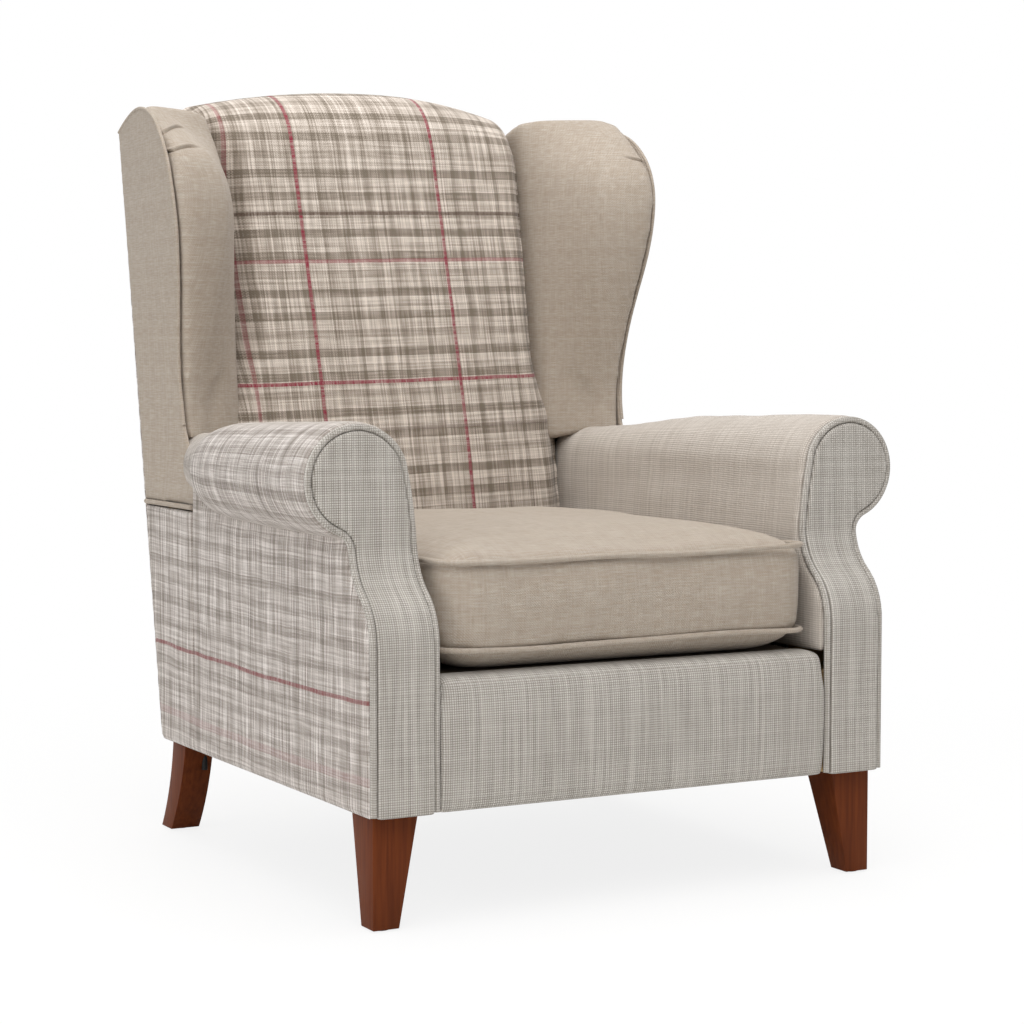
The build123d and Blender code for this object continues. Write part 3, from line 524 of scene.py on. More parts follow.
def finish_named(name):
    """A material made once and then shared by its name here."""
    known = dict(bpy.context.scene.get("chair_finishes") or {})
    if name not in known:
        made = FINISHES[name]
        known[name] = (made() if callable(made) else speckled(*made)).name
        bpy.context.scene["chair_finishes"] = known
    return bpy.data.materials[known[name]]


# ---- meshes ----

def link(name, mesh):
    piece = bpy.data.objects.new(name, mesh)
    bpy.context.scene.collection.objects.link(piece)
    return piece


@contextmanager
def edited(mesh):
    """A mesh opened for editing."""
    bm = bmesh.new()
    bm.from_mesh(mesh)
    yield bm
    bm.to_mesh(mesh)
    bm.free()


def baked(piece):
    """Turn a piece and its modifiers into a plain mesh."""
    bpy.context.view_layer.update()
    depsgraph = bpy.context.evaluated_depsgraph_get()
    mesh = bpy.data.meshes.new_from_object(piece.evaluated_get(depsgraph))
    piece.modifiers.clear()
    piece.data = mesh
    return piece


def copy_of(node, name):
    """A merged copy of a CAD node's mesh as a new piece."""
    mesh = frame["nodes"][node].data.copy()
    mesh.materials.clear()
    while mesh.uv_layers:
        mesh.uv_layers.remove(mesh.uv_layers[0])
    with edited(mesh) as bm:
        bmesh.ops.remove_doubles(bm, verts=bm.verts, dist=1e-5)
    return link(name, mesh)


def add_cone(piece, start, end, first, second):
    """Join a cone between two points to a mesh; the even mesh fuses them."""
    axis = Vector(end) - Vector(start)
    turn = axis.to_track_quat("Z", "Y").to_matrix().to_4x4()
    place = Matrix.Translation((Vector(start) + Vector(end)) / 2) @ turn
    with edited(piece.data) as bm:
        bmesh.ops.create_cone(bm, cap_ends=True, segments=64, radius1=first, radius2=second,
                              depth=axis.length, matrix=place)


def even_copy(node, name, voxel):
    """A closed mesh of even quads with the form of a CAD solid."""
    return evened(copy_of(node, name), voxel)


def evened(piece, voxel):
    """The same form as one closed mesh of even quads."""
    remesh = piece.modifiers.new("even", "REMESH")
    remesh.mode = "VOXEL"
    remesh.voxel_size = voxel
    remesh.use_smooth_shade = True
    return baked(piece)


def points_of(piece):
    co = np.empty(len(piece.data.vertices) * 3)
    piece.data.vertices.foreach_get("co", co)
    return co.reshape(-1, 3)


def normals_of(piece):
    normals = np.empty(len(piece.data.vertices) * 3)
    piece.data.vertex_normals.foreach_get("vector", normals)
    return normals.reshape(-1, 3)


def move_points(piece, co):
    piece.data.vertices.foreach_set("co", co.ravel())
    piece.data.update()


def push(piece, amount):
    """Move each point along its normal by its own amount."""
    move_points(piece, points_of(piece) + normals_of(piece) * amount[:, None])


def facing_front(piece, low, high):
    """1 where a mesh looks to the front, 0 where it looks away and smooth between the limits."""
    return bump_between(-normals_of(piece)[:, 1], low, high)


def relax(piece, rounds, share=0.5):
    """Smooth a mesh; share is one number or one for each point."""
    mesh = piece.data
    edges = np.empty(len(mesh.edges) * 2, np.int64)
    mesh.edges.foreach_get("vertices", edges)
    edges = edges.reshape(-1, 2)
    co = points_of(piece)
    count = np.bincount(edges.ravel(), minlength=len(co)).clip(1)[:, None]
    share = np.broadcast_to(share, len(co))[:, None]
    for _ in range(rounds):
        total = np.empty_like(co)
        for axis in range(3):
            total[:, axis] = np.bincount(edges[:, 0], co[edges[:, 1], axis], len(co))
            total[:, axis] += np.bincount(edges[:, 1], co[edges[:, 0], axis], len(co))
        co = co + share * (total / count - co)
    move_points(piece, co)


def subdivided(piece):
    """One round of subdivision, made plain."""
    modifier = piece.modifiers.new("finer", "SUBSURF")
    modifier.levels = 1
    modifier.render_levels = 1
    return baked(piece)


def stuffed(piece, hold, pressure=4.0, cap=None):
    """Swell a closed mesh as stuffing does, by cloth simulation. Hold is 0 where the cloth is free
    and 1 where it is sewn or tacked."""
    cap = sizes().swell_cap if cap is None else cap
    before = points_of(piece)
    group = piece.vertex_groups.new(name="held")
    for index, weight in enumerate(hold):
        if weight > 0.001:
            group.add([index], float(weight), "REPLACE")
    cloth = piece.modifiers.new("cloth", "CLOTH")
    settings = cloth.settings
    settings.quality = CLOTH_QUALITY
    settings.use_pressure = True
    settings.uniform_pressure_force = pressure
    settings.vertex_group_mass = group.name
    settings.effector_weights.gravity = 0.0
    settings.tension_stiffness = 30
    settings.compression_stiffness = 30
    settings.bending_stiffness = 2.0
    cloth.collision_settings.use_collision = False
    cloth.point_cache.frame_start = 1
    cloth.point_cache.frame_end = CLOTH_FRAMES
    for number in range(1, CLOTH_FRAMES + 1):
        bpy.context.scene.frame_set(number)
    baked(piece)
    piece.vertex_groups.clear()
    bpy.context.scene.frame_set(1)
    moved = points_of(piece) - before
    length = np.linalg.norm(moved, axis=1, keepdims=True).clip(1e-9)
    move_points(piece, before + moved * np.minimum(1.0, cap / length))
    return piece


def bump_between(value, low, high):
    """0 below low, 1 above high and smooth between them."""
    t = np.clip((value - low) / (high - low), 0, 1)
    return t * t * (3 - 2 * t)


def waves(co, size, seed):
    """Smooth unevenness of the padding, about -1 to 1, from a few fixed waves."""
    draw = np.random.default_rng(seed)
    total = np.zeros(len(co))
    for _ in range(6):
        direction = draw.normal(size=3)
        direction = direction / np.linalg.norm(direction) * 2 * pi / (size * draw.uniform(0.7, 1.6))
        total += np.sin(co @ direction + draw.uniform(0, 2 * pi))
    return total / 3


def refine(piece, path, reach):
    """Cut the padding's faces near a path finer, seen from the front."""
    with edited(piece.data) as bm:
        flat = np.array([(v.co.x, v.co.z) for v in bm.verts])
        ahead = np.array([v.co.y for v in bm.verts]) < path[0][1] + 0.05
        line = np.array(path)[:, [0, 2]]
        gap = np.linalg.norm(flat[:, None] - line[None], axis=2).min(axis=1)
        near = (gap < reach) & ahead
        edges = [e for e in bm.edges if near[e.verts[0].index] and near[e.verts[1].index]]
        bmesh.ops.subdivide_edges(bm, edges=edges, cuts=2, use_grid_fill=True)


def fold(piece, path, width, depth):
    """Press a stitched pleat into the front of the padding along a path; its upper lip stands out."""
    co = points_of(piece)
    flat = co[:, [0, 2]]
    nearest = np.full(len(co), np.inf)
    above = np.zeros(len(co))
    fade = np.zeros(len(co))
    count = len(path) - 1
    for index in range(count):
        a = np.array(path[index])[[0, 2]]
        b = np.array(path[index + 1])[[0, 2]]
        t = np.clip((flat - a) @ (b - a) / ((b - a) @ (b - a)), 0, 1)
        offset = flat - a - t[:, None] * (b - a)
        distance = np.linalg.norm(offset, axis=1)
        closer = distance < nearest
        nearest = np.where(closer, distance, nearest)
        above = np.where(closer, np.sign(offset[:, 1]), above)
        fade = np.where(closer, 1 - bump_between((index + t) / count, 0.55, 1.0), fade)
    in_front = facing_front(piece, -0.35, 0.1) * (co[:, 1] < path[0][1] + 0.08)
    groove = np.exp(-(nearest / width) ** 2) * depth
    lip = np.exp(-((nearest * above - 2.2 * width) / (1.6 * width)) ** 2) * depth * 0.45
    push(piece, (lip - groove) * fade * in_front)


def chart_by_side(co, normals):
    """Lay the cloth flat on the side that each face looks to."""
    side = np.abs(normals).argmax(axis=1)
    across = np.where(side == 0, co[:, 1], co[:, 0])
    along = np.where(side == 2, co[:, 1], co[:, 2])
    return across, along


def lay_cloth(piece, chart=chart_by_side):
    """Give each face corner its place on the cloth, in metres, as the UV map named cloth."""
    mesh = piece.data
    corner_points = np.empty(len(mesh.loops), np.int64)
    mesh.loops.foreach_get("vertex_index", corner_points)
    corner_counts = np.empty(len(mesh.polygons), np.int64)
    mesh.polygons.foreach_get("loop_total", corner_counts)
    face_normals = np.empty(len(mesh.polygons) * 3)
    mesh.polygons.foreach_get("normal", face_normals)
    normals = np.repeat(face_normals.reshape(-1, 3), corner_counts, axis=0)
    across, along = chart(points_of(piece)[corner_points], normals)
    layer = mesh.uv_layers.get("cloth") or mesh.uv_layers.new(name="cloth")
    layer.data.foreach_set("uv", np.stack([across, along], 1).ravel())
    mesh.uv_layers.active = layer


def dress(piece, finish, body, *nodes, slot=None, chart=chart_by_side, fill=None):
    """Finish a piece: smooth shading, cloth chart, material, body, the nodes it stands for."""
    piece.data.materials.clear()
    piece.data.materials.append(finish_named(finish))
    piece.data.shade_smooth()
    lay_cloth(piece, chart)
    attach(piece, body)
    if nodes:
        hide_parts(*nodes)
    return piece


# ---- cords and rows by Geometry Nodes ----

def new_tree(name, sockets):
    """A geometry tree with a mesh input, named inputs and a mesh output."""
    tree = bpy.data.node_groups.new(name, "GeometryNodeTree")
    tree.interface.new_socket("Geometry", in_out="INPUT", socket_type="NodeSocketGeometry")
    for label, kind, default in sockets:
        socket = tree.interface.new_socket(label, in_out="INPUT", socket_type=kind)
        if default is not None:
            socket.default_value = default
    tree.interface.new_socket("Geometry", in_out="OUTPUT", socket_type="NodeSocketGeometry")
    return tree, tree.nodes.new("NodeGroupInput")


def finish_tree(tree, source, mesh):
    """Close a tree: make the copies real, set the material and give the result out."""
    real = add_node(tree, "GeometryNodeRealizeInstances", {0: mesh})
    shaded = add_node(tree, "GeometryNodeSetMaterial",
                      {"Geometry": real.outputs[0], "Material": source.outputs["Material"]})
    add_node(tree, "NodeGroupOutput", {0: shaded.outputs[0]})


def cord_tree():
    """A round cord along a path."""
    tree = bpy.data.node_groups.get("cord_along_path")
    if tree:
        return tree
    tree, source = new_tree("cord_along_path", (
        ("Radius", "NodeSocketFloat", 0.004), ("Sides", "NodeSocketInt", 14),
        ("Material", "NodeSocketMaterial", None)))
    path = add_node(tree, "GeometryNodeMeshToCurve", {0: source.outputs["Geometry"]})
    ring = add_node(tree, "GeometryNodeCurvePrimitiveCircle",
                    {"Resolution": source.outputs["Sides"], "Radius": source.outputs["Radius"]})
    cord = add_node(tree, "GeometryNodeCurveToMesh",
                    {"Curve": path.outputs[0], "Profile Curve": ring.outputs[0], "Fill Caps": True})
    finish_tree(tree, source, cord.outputs[0])
    return tree


def row_tree():
    """Small blocks in a row along a path, each turned a little at random."""
    tree = bpy.data.node_groups.get("row_along_path")
    if tree:
        return tree
    tree, source = new_tree("row_along_path", (
        ("Spacing", "NodeSocketFloat", 0.03), ("Block", "NodeSocketVector", (0.01, 0.0012, 0.0008)),
        ("Turn", "NodeSocketFloat", 0.1), ("Seed", "NodeSocketInt", 3),
        ("Material", "NodeSocketMaterial", None)))
    path = add_node(tree, "GeometryNodeMeshToCurve", {0: source.outputs["Geometry"]})
    points = add_node(tree, "GeometryNodeCurveToPoints",
                      {"Curve": path.outputs[0], "Length": source.outputs["Spacing"]}, mode="LENGTH")
    block = add_node(tree, "GeometryNodeMeshCube", {"Size": source.outputs["Block"]})
    low = maths(tree, "MULTIPLY", source.outputs["Turn"], -1.0)
    turn = add_node(tree, "FunctionNodeRandomValue",
                    {2: low, 3: source.outputs["Turn"], "Seed": source.outputs["Seed"]},
                    data_type="FLOAT")
    about = add_node(tree, "ShaderNodeCombineXYZ", {2: turn.outputs[1]})
    rotation = add_node(tree, "FunctionNodeRotateRotation",
                        {0: points.outputs["Rotation"]}, rotation_space="LOCAL")
    tree.links.new(about.outputs[0], rotation.inputs[1])
    copies = add_node(tree, "GeometryNodeInstanceOnPoints",
                      {"Points": points.outputs[0], "Instance": block.outputs[0],
                       "Rotation": rotation.outputs[0]})
    finish_tree(tree, source, copies.outputs[0])
    return tree


def along_path(name, points, closed, tree, finish, **inputs):
    """A piece made by a geometry tree along a path of points."""
    count = len(points)
    edges = [(i, i + 1) for i in range(count - 1)] + [(count - 1, 0)] * closed
    mesh = bpy.data.meshes.new(name)
    mesh.from_pydata(points, edges, [])
    piece = link(name, mesh)
    modifier = piece.modifiers.new("made", "NODES")
    modifier.node_group = tree
    inputs["Material"] = finish_named(finish)
    for item in tree.interface.items_tree:
        if item.in_out == "INPUT" and item.name in inputs:
            modifier[item.identifier] = inputs[item.name]
    return baked(piece)


# ---- shared outlines ----

def sweep_at(height):
    """How far the facings stand back at a height: two equal arcs, tangent to upright at both ends."""
    s = sizes()
    half_rise = (s.sweep_top - s.sweep_bottom) / 2
    half_depth = s.sweep_depth / 2
    radius = (half_rise ** 2 + half_depth ** 2) / (2 * half_depth)
    low = min(max(height - s.sweep_bottom, 0.0), half_rise)
    high = min(max(s.sweep_top - height, 0.0), half_rise)
    if height < s.sweep_bottom + half_rise:
        return radius - sqrt(radius ** 2 - low ** 2)
    return s.sweep_depth - (radius - sqrt(radius ** 2 - high ** 2))


def arc(cx, cz, radius, start, end, steps):
    """Points of an arc in X and Z, angles in degrees."""
    angles = [radians(start + (end - start) * i / steps) for i in range(steps + 1)]
    return [(cx + radius * cos(a), cz + radius * sin(a)) for a in angles]


def facing_outline(inset):
    """A facing's edge, drawn in by an inset, from its inner foot over the scroll to its outer foot."""
    s = sizes()
    inner = s.facing_inner_half + inset
    outer = s.body_half - inset
    radius = s.scroll_radius - inset
    join_angle = 160
    join = radians(join_angle)
    end_x = s.scroll_half + radius * cos(join)
    end_z = s.scroll_height + radius * sin(join)
    run = end_x - inner
    rise = end_z - s.lean_height
    lean = (run ** 2 + rise ** 2) / (2 * run)
    turned = 180 - np.degrees(np.arcsin(rise / lean))
    neck_x = s.body_half + s.neck_radius
    reach = s.scroll_radius + s.neck_radius
    neck_z = s.scroll_height - sqrt(reach ** 2 - (neck_x - s.scroll_half) ** 2)
    fall = np.degrees(np.arctan2(neck_z - s.scroll_height, neck_x - s.scroll_half))
    foot = s.underside + 0.003
    steps = 30
    straight = [(inner, foot + (s.lean_height - foot) * i / steps) for i in range(steps)]
    points = straight + arc(inner + lean, s.lean_height, lean, 180, turned, 12)[:-1]
    points += arc(s.scroll_half, s.scroll_height, radius, join_angle, fall, 2 * steps)[:-1]
    points += arc(neck_x, neck_z, s.neck_radius + inset, fall + 180, 180, 12)
    points += [(outer, neck_z + (foot - neck_z) * i / steps) for i in range(1, steps + 1)]
    return points


def smooth_curve(points, steps):
    """A smooth curve through points: a natural cubic spline over their chord lengths."""
    points = np.array(points, float)
    chord = np.concatenate([[0], np.cumsum(np.linalg.norm(np.diff(points, axis=0), axis=1))])
    gap = np.diff(chord)
    count = len(points)
    matrix = np.eye(count)
    right = np.zeros_like(points)
    for i in range(1, count - 1):
        matrix[i, i - 1:i + 2] = gap[i - 1], 2 * (gap[i - 1] + gap[i]), gap[i]
        right[i] = 6 * ((points[i + 1] - points[i]) / gap[i] - (points[i] - points[i - 1]) / gap[i - 1])
    bend = np.linalg.solve(matrix, right)
    out = []
    for t in np.linspace(0, chord[-1], steps):
        i = min(int(np.searchsorted(chord, t, "right")) - 1, count - 2)
        a = chord[i + 1] - t
        b = t - chord[i]
        h = gap[i]
        out.append((bend[i] * a ** 3 + bend[i + 1] * b ** 3) / (6 * h)
                   + (points[i] / h - bend[i] * h / 6) * a
                   + (points[i + 1] / h - bend[i + 1] * h / 6) * b)
    return out


# Where the inside back spreads over the left wing's top corner: heights, and how far out it goes.
CORNER_HEIGHTS = (0.90, 0.93, 0.951, 0.974, 0.995, 1.013, 1.027, 1.05)
CORNER_OFFSETS = (0.0, 0.003, 0.008, 0.014, 0.020, 0.027, 0.035, 0.048)


# ---- operators ----

class MakeCushion(bpy.types.Operator):
    """Make the loose seat cushion: crowned cover and its two wavy pipings"""

    bl_idname = "chair.cushion"
    bl_label = "Seat cushion"

    def execute(self, context):
        s = sizes()
        cushion = even_copy("cushion_core", "seat_cushion", VOXELS["seat_cushion"])
        relax(cushion, 3)
        low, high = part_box("cushion_cover")
        self.fill_border(cushion, low, high)
        co = points_of(cushion)
        seam = np.minimum(np.abs(co[:, 2] - s.low_seam), np.abs(co[:, 2] - s.high_seam))
        at_edge = bump_between(self.outness(co, low, high), 0.93, 0.97)
        sewn = (1 - bump_between(seam, 0.004, 0.014)) * at_edge
        under = 1 - bump_between(co[:, 2], low.z + 0.004, low.z + 0.012)
        stuffed(cushion, np.maximum(sewn, 0.7 * under), pressure=5.0)
        subdivided(cushion)
        relax(cushion, 2)
        co = points_of(cushion)
        level = waves(co, 0.16, 4) * 0.0016 + waves(co, 0.06, 9) * 0.0004
        push(cushion, level * bump_between(co[:, 2], low.z + 0.01, low.z + 0.03))
        dress(cushion, "beige", "seat_cushion", "cushion_cover", "cushion_core", slot="beige_cloth",
              fill=0.75)
        for name, height, seed in (("top", s.high_seam, 2), ("bottom", s.low_seam, 5)):
            ring = self.seam_path(height, seed)
            piping = along_path("cushion_piping_" + name, ring, True, cord_tree(), "beige",
                                Radius=s.cushion_cord, Sides=14)
            dress(piping, "beige", "seat_cushion", "cushion_" + name + "_piping", slot="beige_cloth")
        return {"FINISHED"}

    def outness(self, co, low, high):
        """How far out a point lies across the cushion: 0 in its middle and 1 at its edge."""
        return np.maximum(np.abs(co[:, 0]) / high.x,
                          np.abs(co[:, 1] - (low.y + high.y) / 2) / ((high.y - low.y) / 2))

    def fill_border(self, cushion, low, high):
        """Swell the border between the two seams, so that the pipings stand almost flush with it."""
        s = sizes()
        co = points_of(cushion)
        half_height = (s.high_seam - s.low_seam) / 2
        level = (co[:, 2] - (s.high_seam + s.low_seam) / 2) / half_height
        share = np.clip(1 - level ** 2, 0, 1) ** 0.7
        normals = normals_of(cushion)
        sideways = np.linalg.norm(normals[:, :2], axis=1)
        edge = bump_between(self.outness(co, low, high), 0.85, 0.93) * bump_between(sideways, 0.3, 0.8)
        swell = share * s.border_swell * edge
        co[:, :2] += normals[:, :2] / sideways.clip(0.2)[:, None] * swell[:, None]
        move_points(cushion, co)

    def seam_path(self, height, seed):
        """Rounded rectangle just outside the cover's seam, a little wavy in height."""
        s = sizes()
        low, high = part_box("cushion_top_piping")
        inset = s.cushion_cord + 0.0015
        half = high.x - inset
        front = low.y + inset
        rear = high.y - inset
        r = s.cushion_corner
        steps = 40
        corners = ((half - r, rear - r, 0), (-half + r, rear - r, 90), (-half + r, front + r, 180),
                   (half - r, front + r, 270))
        points = []
        for index, (x, y, start) in enumerate(corners):
            turn = arc(x, y, r, start, start + 90, 10)
            points += turn
            nx, ny, nstart = corners[(index + 1) % 4]
            target = arc(nx, ny, r, nstart, nstart, 1)[0]
            last = turn[-1]
            points += [(last[0] + (target[0] - last[0]) * i / steps,
                        last[1] + (target[1] - last[1]) * i / steps) for i in range(1, steps)]
        flat = np.array([(x, y, height) for x, y in points])
        rise = waves(flat, 0.22, seed) * 0.0016
        return [(x, y, z + rise[i]) for i, (x, y, z) in enumerate(flat)]


class MakeInsideBack(bpy.types.Operator):
    """Make the inside back: a crowned pad with an arched top"""

    bl_idname = "chair.inside_back"
    bl_label = "Inside back"

    # Half width of the pad at these heights: it widens from between the wings to between the arms.
    foot_heights = (0.56, 0.588, 0.61, 0.64, 0.68, 0.72)
    foot_halves = (0.2827, 0.281, 0.275, 0.264, 0.254, 0.2497)
    # How far the pad's sides fall back, and the bend over its top that the cloth follows.
    side_setback = 0.026
    bend = 0.055
    # Where the cloth is sewn down: its sides, from a height upwards, and its foot.
    sewn_sides = (0.222, 0.248)
    sides_from = 0.58
    sewn_foot = (0.44, 0.50)
    # How much the cloth leans: its warp from upright, about a height, and its weft from level.
    warp_slant = 0.056
    slant_height = 0.74
    weft_slant = 0.028

    def execute(self, context):
        pad = even_copy("inside_back", "inside_back_pad", VOXELS["inside_back"])
        self.widen_foot(pad)
        relax(pad, 8)
        co = points_of(pad)
        front = facing_front(pad, 0.0, 0.5)
        edge = bump_between(np.abs(co[:, 0]), *self.sewn_sides) * (co[:, 2] > self.sides_from)
        hold = np.maximum(1 - front, edge)
        hold = np.maximum(hold, 1 - bump_between(co[:, 2], *self.sewn_foot))
        stuffed(pad, hold, pressure=3.0, cap=0.006)
        subdivided(pad)
        co = points_of(pad)
        normals = normals_of(pad)
        half = self.half_at(co[:, 2])
        half = half + np.interp(co[:, 2], CORNER_HEIGHTS, CORNER_OFFSETS) * (co[:, 0] < 0)
        side = bump_between(np.abs(co[:, 0]) / half, 0.84, 1.0)
        front = facing_front(pad, -0.2, 0.4)
        co[:, 1] += side ** 1.6 * front * self.side_setback
        co = co + normals * (waves(co, 0.25, 12) * 0.0012 * front)[:, None]
        move_points(pad, co)
        relax(pad, 3)
        dress(pad, "plaid", "chair", "inside_back", slot="plaid_cloth", chart=self.lay, fill=0.8)
        return {"FINISHED"}

    def half_at(self, height):
        return np.interp(height, self.foot_heights, self.foot_halves)

    def widen_foot(self, pad):
        """Widen the pad's foot, and its top where it spreads over the left wing's corner."""
        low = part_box("right_wing_pad")[0]
        co = points_of(pad)
        spread = (co[:, 2] > CORNER_HEIGHTS[0]) & (co[:, 0] < 0)
        co[spread, 0] *= (low.x + np.interp(co[spread, 2], CORNER_HEIGHTS, CORNER_OFFSETS)) / low.x
        wide = (co[:, 2] > low.z - 0.001) & (co[:, 2] < self.foot_heights[-1])
        co[wide, 0] *= self.half_at(co[wide, 2]) / low.x
        move_points(pad, co)

    def lay(self, co, normals):
        """The cloth goes up the back, over its arched top and down behind, and leans a little."""
        bend = self.bend
        strip, left_end = 0.01, 0.4
        place = np.round((co[:, 0] + left_end) / strip).astype(int)
        top = np.zeros(place.max() + 1)
        np.maximum.at(top, place, co[:, 2])
        known = np.flatnonzero(top)
        known = known[np.abs(known * strip - left_end) < 0.22]
        middle = known * strip - left_end
        ridge = np.array([co[(place == i) & (co[:, 2] > top[i] - 0.003), 1].mean() for i in known])
        level = [(place == i) & (np.abs(co[:, 2] - top[i] + bend) < 0.008) for i in known]
        lead = np.array([co[near, 1].min() for near in level])
        x = np.clip(co[:, 0], -0.21, 0.21)
        centre = np.polyval(np.polyfit(middle, top[known], 4), x) - bend
        ahead = np.polyval(np.polyfit(middle, ridge, 2), x) - co[:, 1]
        depth = np.polyval(np.polyfit(middle, ridge - lead, 2), x)
        turn = np.arctan2(co[:, 2] - centre, ahead * bend / depth)
        height = np.where(co[:, 2] > centre, centre + bend * turn, co[:, 2])
        across = co[:, 0] + self.warp_slant * (co[:, 2] - self.slant_height)
        return across, height - self.weft_slant * co[:, 0]


class MakeWings(bpy.types.Operator):
    """Make the padded wings with their pleats, and the plain outer wing panels"""

    bl_idname = "chair.wings"
    bl_label = "Wings"

    pleat_width = 0.0012
    pleat_depth = 0.0042
    # How far the foot goes down into the arm, and how much further at its inner side.
    foot_drop = 0.016
    inner_foot_drop = 0.009
    # How far the nose's top stands back on each side, and how far the left wing's top is let down.
    nose_setback = {1: 0.009, -1: 0.017}
    left_drop = 0.013
    # How much of the left corner's spread is left at the wing's rear.
    rear_spread = 0.4
    # A point inside the outer panel, in Y and Z, that its outline is read from.
    panel_middle = (0.33, 0.82)

    def execute(self, context):
        for side, sign in SIDES:
            pad = even_copy(side + "_wing_pad", side + "_wing_upholstery", VOXELS["wing_pad"])
            relax(pad, 14)
            self.shape_top(pad, sign)
            co = points_of(pad)
            facing_in = bump_between(-normals_of(pad)[:, 0] * sign, -0.2, 0.4)
            free = np.maximum(facing_in, facing_front(pad, 0.0, 0.5))
            free = free * bump_between(co[:, 2], 0.60, 0.64) * bump_between(-co[:, 1], -0.33, -0.27)
            stuffed(pad, 1 - free, pressure=3.0, cap=0.006)
            subdivided(pad)
            relax(pad, 2)
            for path in self.pleats(sign):
                refine(pad, path, 0.012)
                fold(pad, path, self.pleat_width, self.pleat_depth)
            dress(pad, "beige", "chair", side + "_wing_pad", slot="beige_cloth", chart=self.lay,
                  fill=0.8)
            panel = even_copy(side + "_outer_wing", side + "_outer_wing_panel", VOXELS["outer_wing"])
            relax(panel, 2)
            edge = self.panel_edge(panel, sign)
            dress(panel, "beige", "chair", side + "_outer_wing", slot="beige_cloth", fill=1.0)
            cord = along_path(side + "_wing_edge_cord", edge, False, cord_tree(), "beige",
                              Radius=sizes().edge_cord, Sides=10)
            dress(cord, "beige", "chair", slot="beige_cloth")
        return {"FINISHED"}

    def shape_top(self, pad, sign):
        """Round the nose's top back, let the left wing's top down and sew the foot to the arm."""
        co = points_of(pad)
        lower_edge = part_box("right_wing_pad")[0].z
        inside = 1 - bump_between(np.abs(co[:, 0]), 0.262, 0.31)
        foot = 1 - bump_between(co[:, 2], lower_edge + 0.004, lower_edge + 0.04)
        co[:, 2] -= (self.foot_drop + self.inner_foot_drop * inside) * foot
        ahead = 1 - bump_between(co[:, 1], 0.25, 0.34)
        co[:, 1] += self.nose_setback[sign] * bump_between(co[:, 2], 0.965, 1.03) * ahead
        if sign < 0:
            outer, inner = (-corner.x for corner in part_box("left_wing_pad"))
            spread = np.interp(co[:, 2], CORNER_HEIGHTS, CORNER_OFFSETS)
            spread = spread * (self.rear_spread + (1 - self.rear_spread) * ahead)
            half = np.abs(co[:, 0])
            squeezed = outer - (outer - half) * (outer - inner - spread) / (outer - inner)
            co[:, 0] = -np.where(half < outer, squeezed, half)
            co[:, 2] -= self.left_drop * bump_between(co[:, 2], 0.97, 1.05)
        move_points(pad, co)
        co = points_of(pad)
        corner = bump_between(co[:, 2], 0.95, 1.0) * (1 - bump_between(co[:, 1], 0.30, 0.36))
        relax(pad, 12 if sign > 0 else 24, 0.5 * corner)

    def lay(self, co, normals):
        """The cloth runs up the wing and round its nose; only the flat top is laid by itself."""
        up = normals[:, 2] > 0.8
        return np.where(up, co[:, 0], np.abs(co[:, 0]) - co[:, 1]), np.where(up, co[:, 1], co[:, 2])

    def pleats(self, sign):
        """Pleats at the top of the nose: two on the left wing and one on the right."""
        if sign > 0:
            x, y, z = 0.350, 0.20, 1.003
            length, fall = 0.052, 0.011
            return [[(x + length * t, y, z - fall * t) for t in np.linspace(1, 0, 9)]]
        paths = []
        length = 0.056
        for x, y, z, rise in ((0.388, 0.234, 1.0065, 0.0135), (0.392, 0.204, 0.978, 0.0095)):
            paths.append([(-x + length * t, y, z + rise * sin(0.72 * pi * t))
                          for t in np.linspace(0, 1, 11)])
        return paths

    def panel_edge(self, panel, sign):
        """The outer panel's front and top edge, read from its mesh round a point inside it."""
        co = points_of(panel)
        middle = self.panel_middle
        cord_inset = 0.0015
        flat = co[:, 1:] - np.array(middle)
        angles = np.degrees(np.arctan2(flat[:, 1], flat[:, 0])) % 360
        reach = np.linalg.norm(flat, axis=1)
        path = []
        for height in np.linspace(0.596, 0.80, 12):
            near = co[np.abs(co[:, 2] - height) < 0.003]
            lead = near[near[:, 1] < near[:, 1].min() + 0.004]
            path.append((sign * (np.abs(lead[:, 0]).max() - cord_inset), lead[:, 1].min(), height))
        for angle in np.arange(180, 63, -4):
            near = np.abs(angles - angle) < 1.5
            far = near & (reach > reach[near].max() - 0.003)
            a = radians(angle)
            out = reach[near].max()
            x = np.abs(co[far, 0]).max() - cord_inset
            path.append((sign * x, middle[0] + out * cos(a), middle[1] + out * sin(a)))
        path = np.array(path)
        for _ in range(2):
            path[1:-1] = (path[:-2] + 2 * path[1:-1] + path[2:]) / 4
        return [tuple(point) for point in smooth_curve(path, 160)]


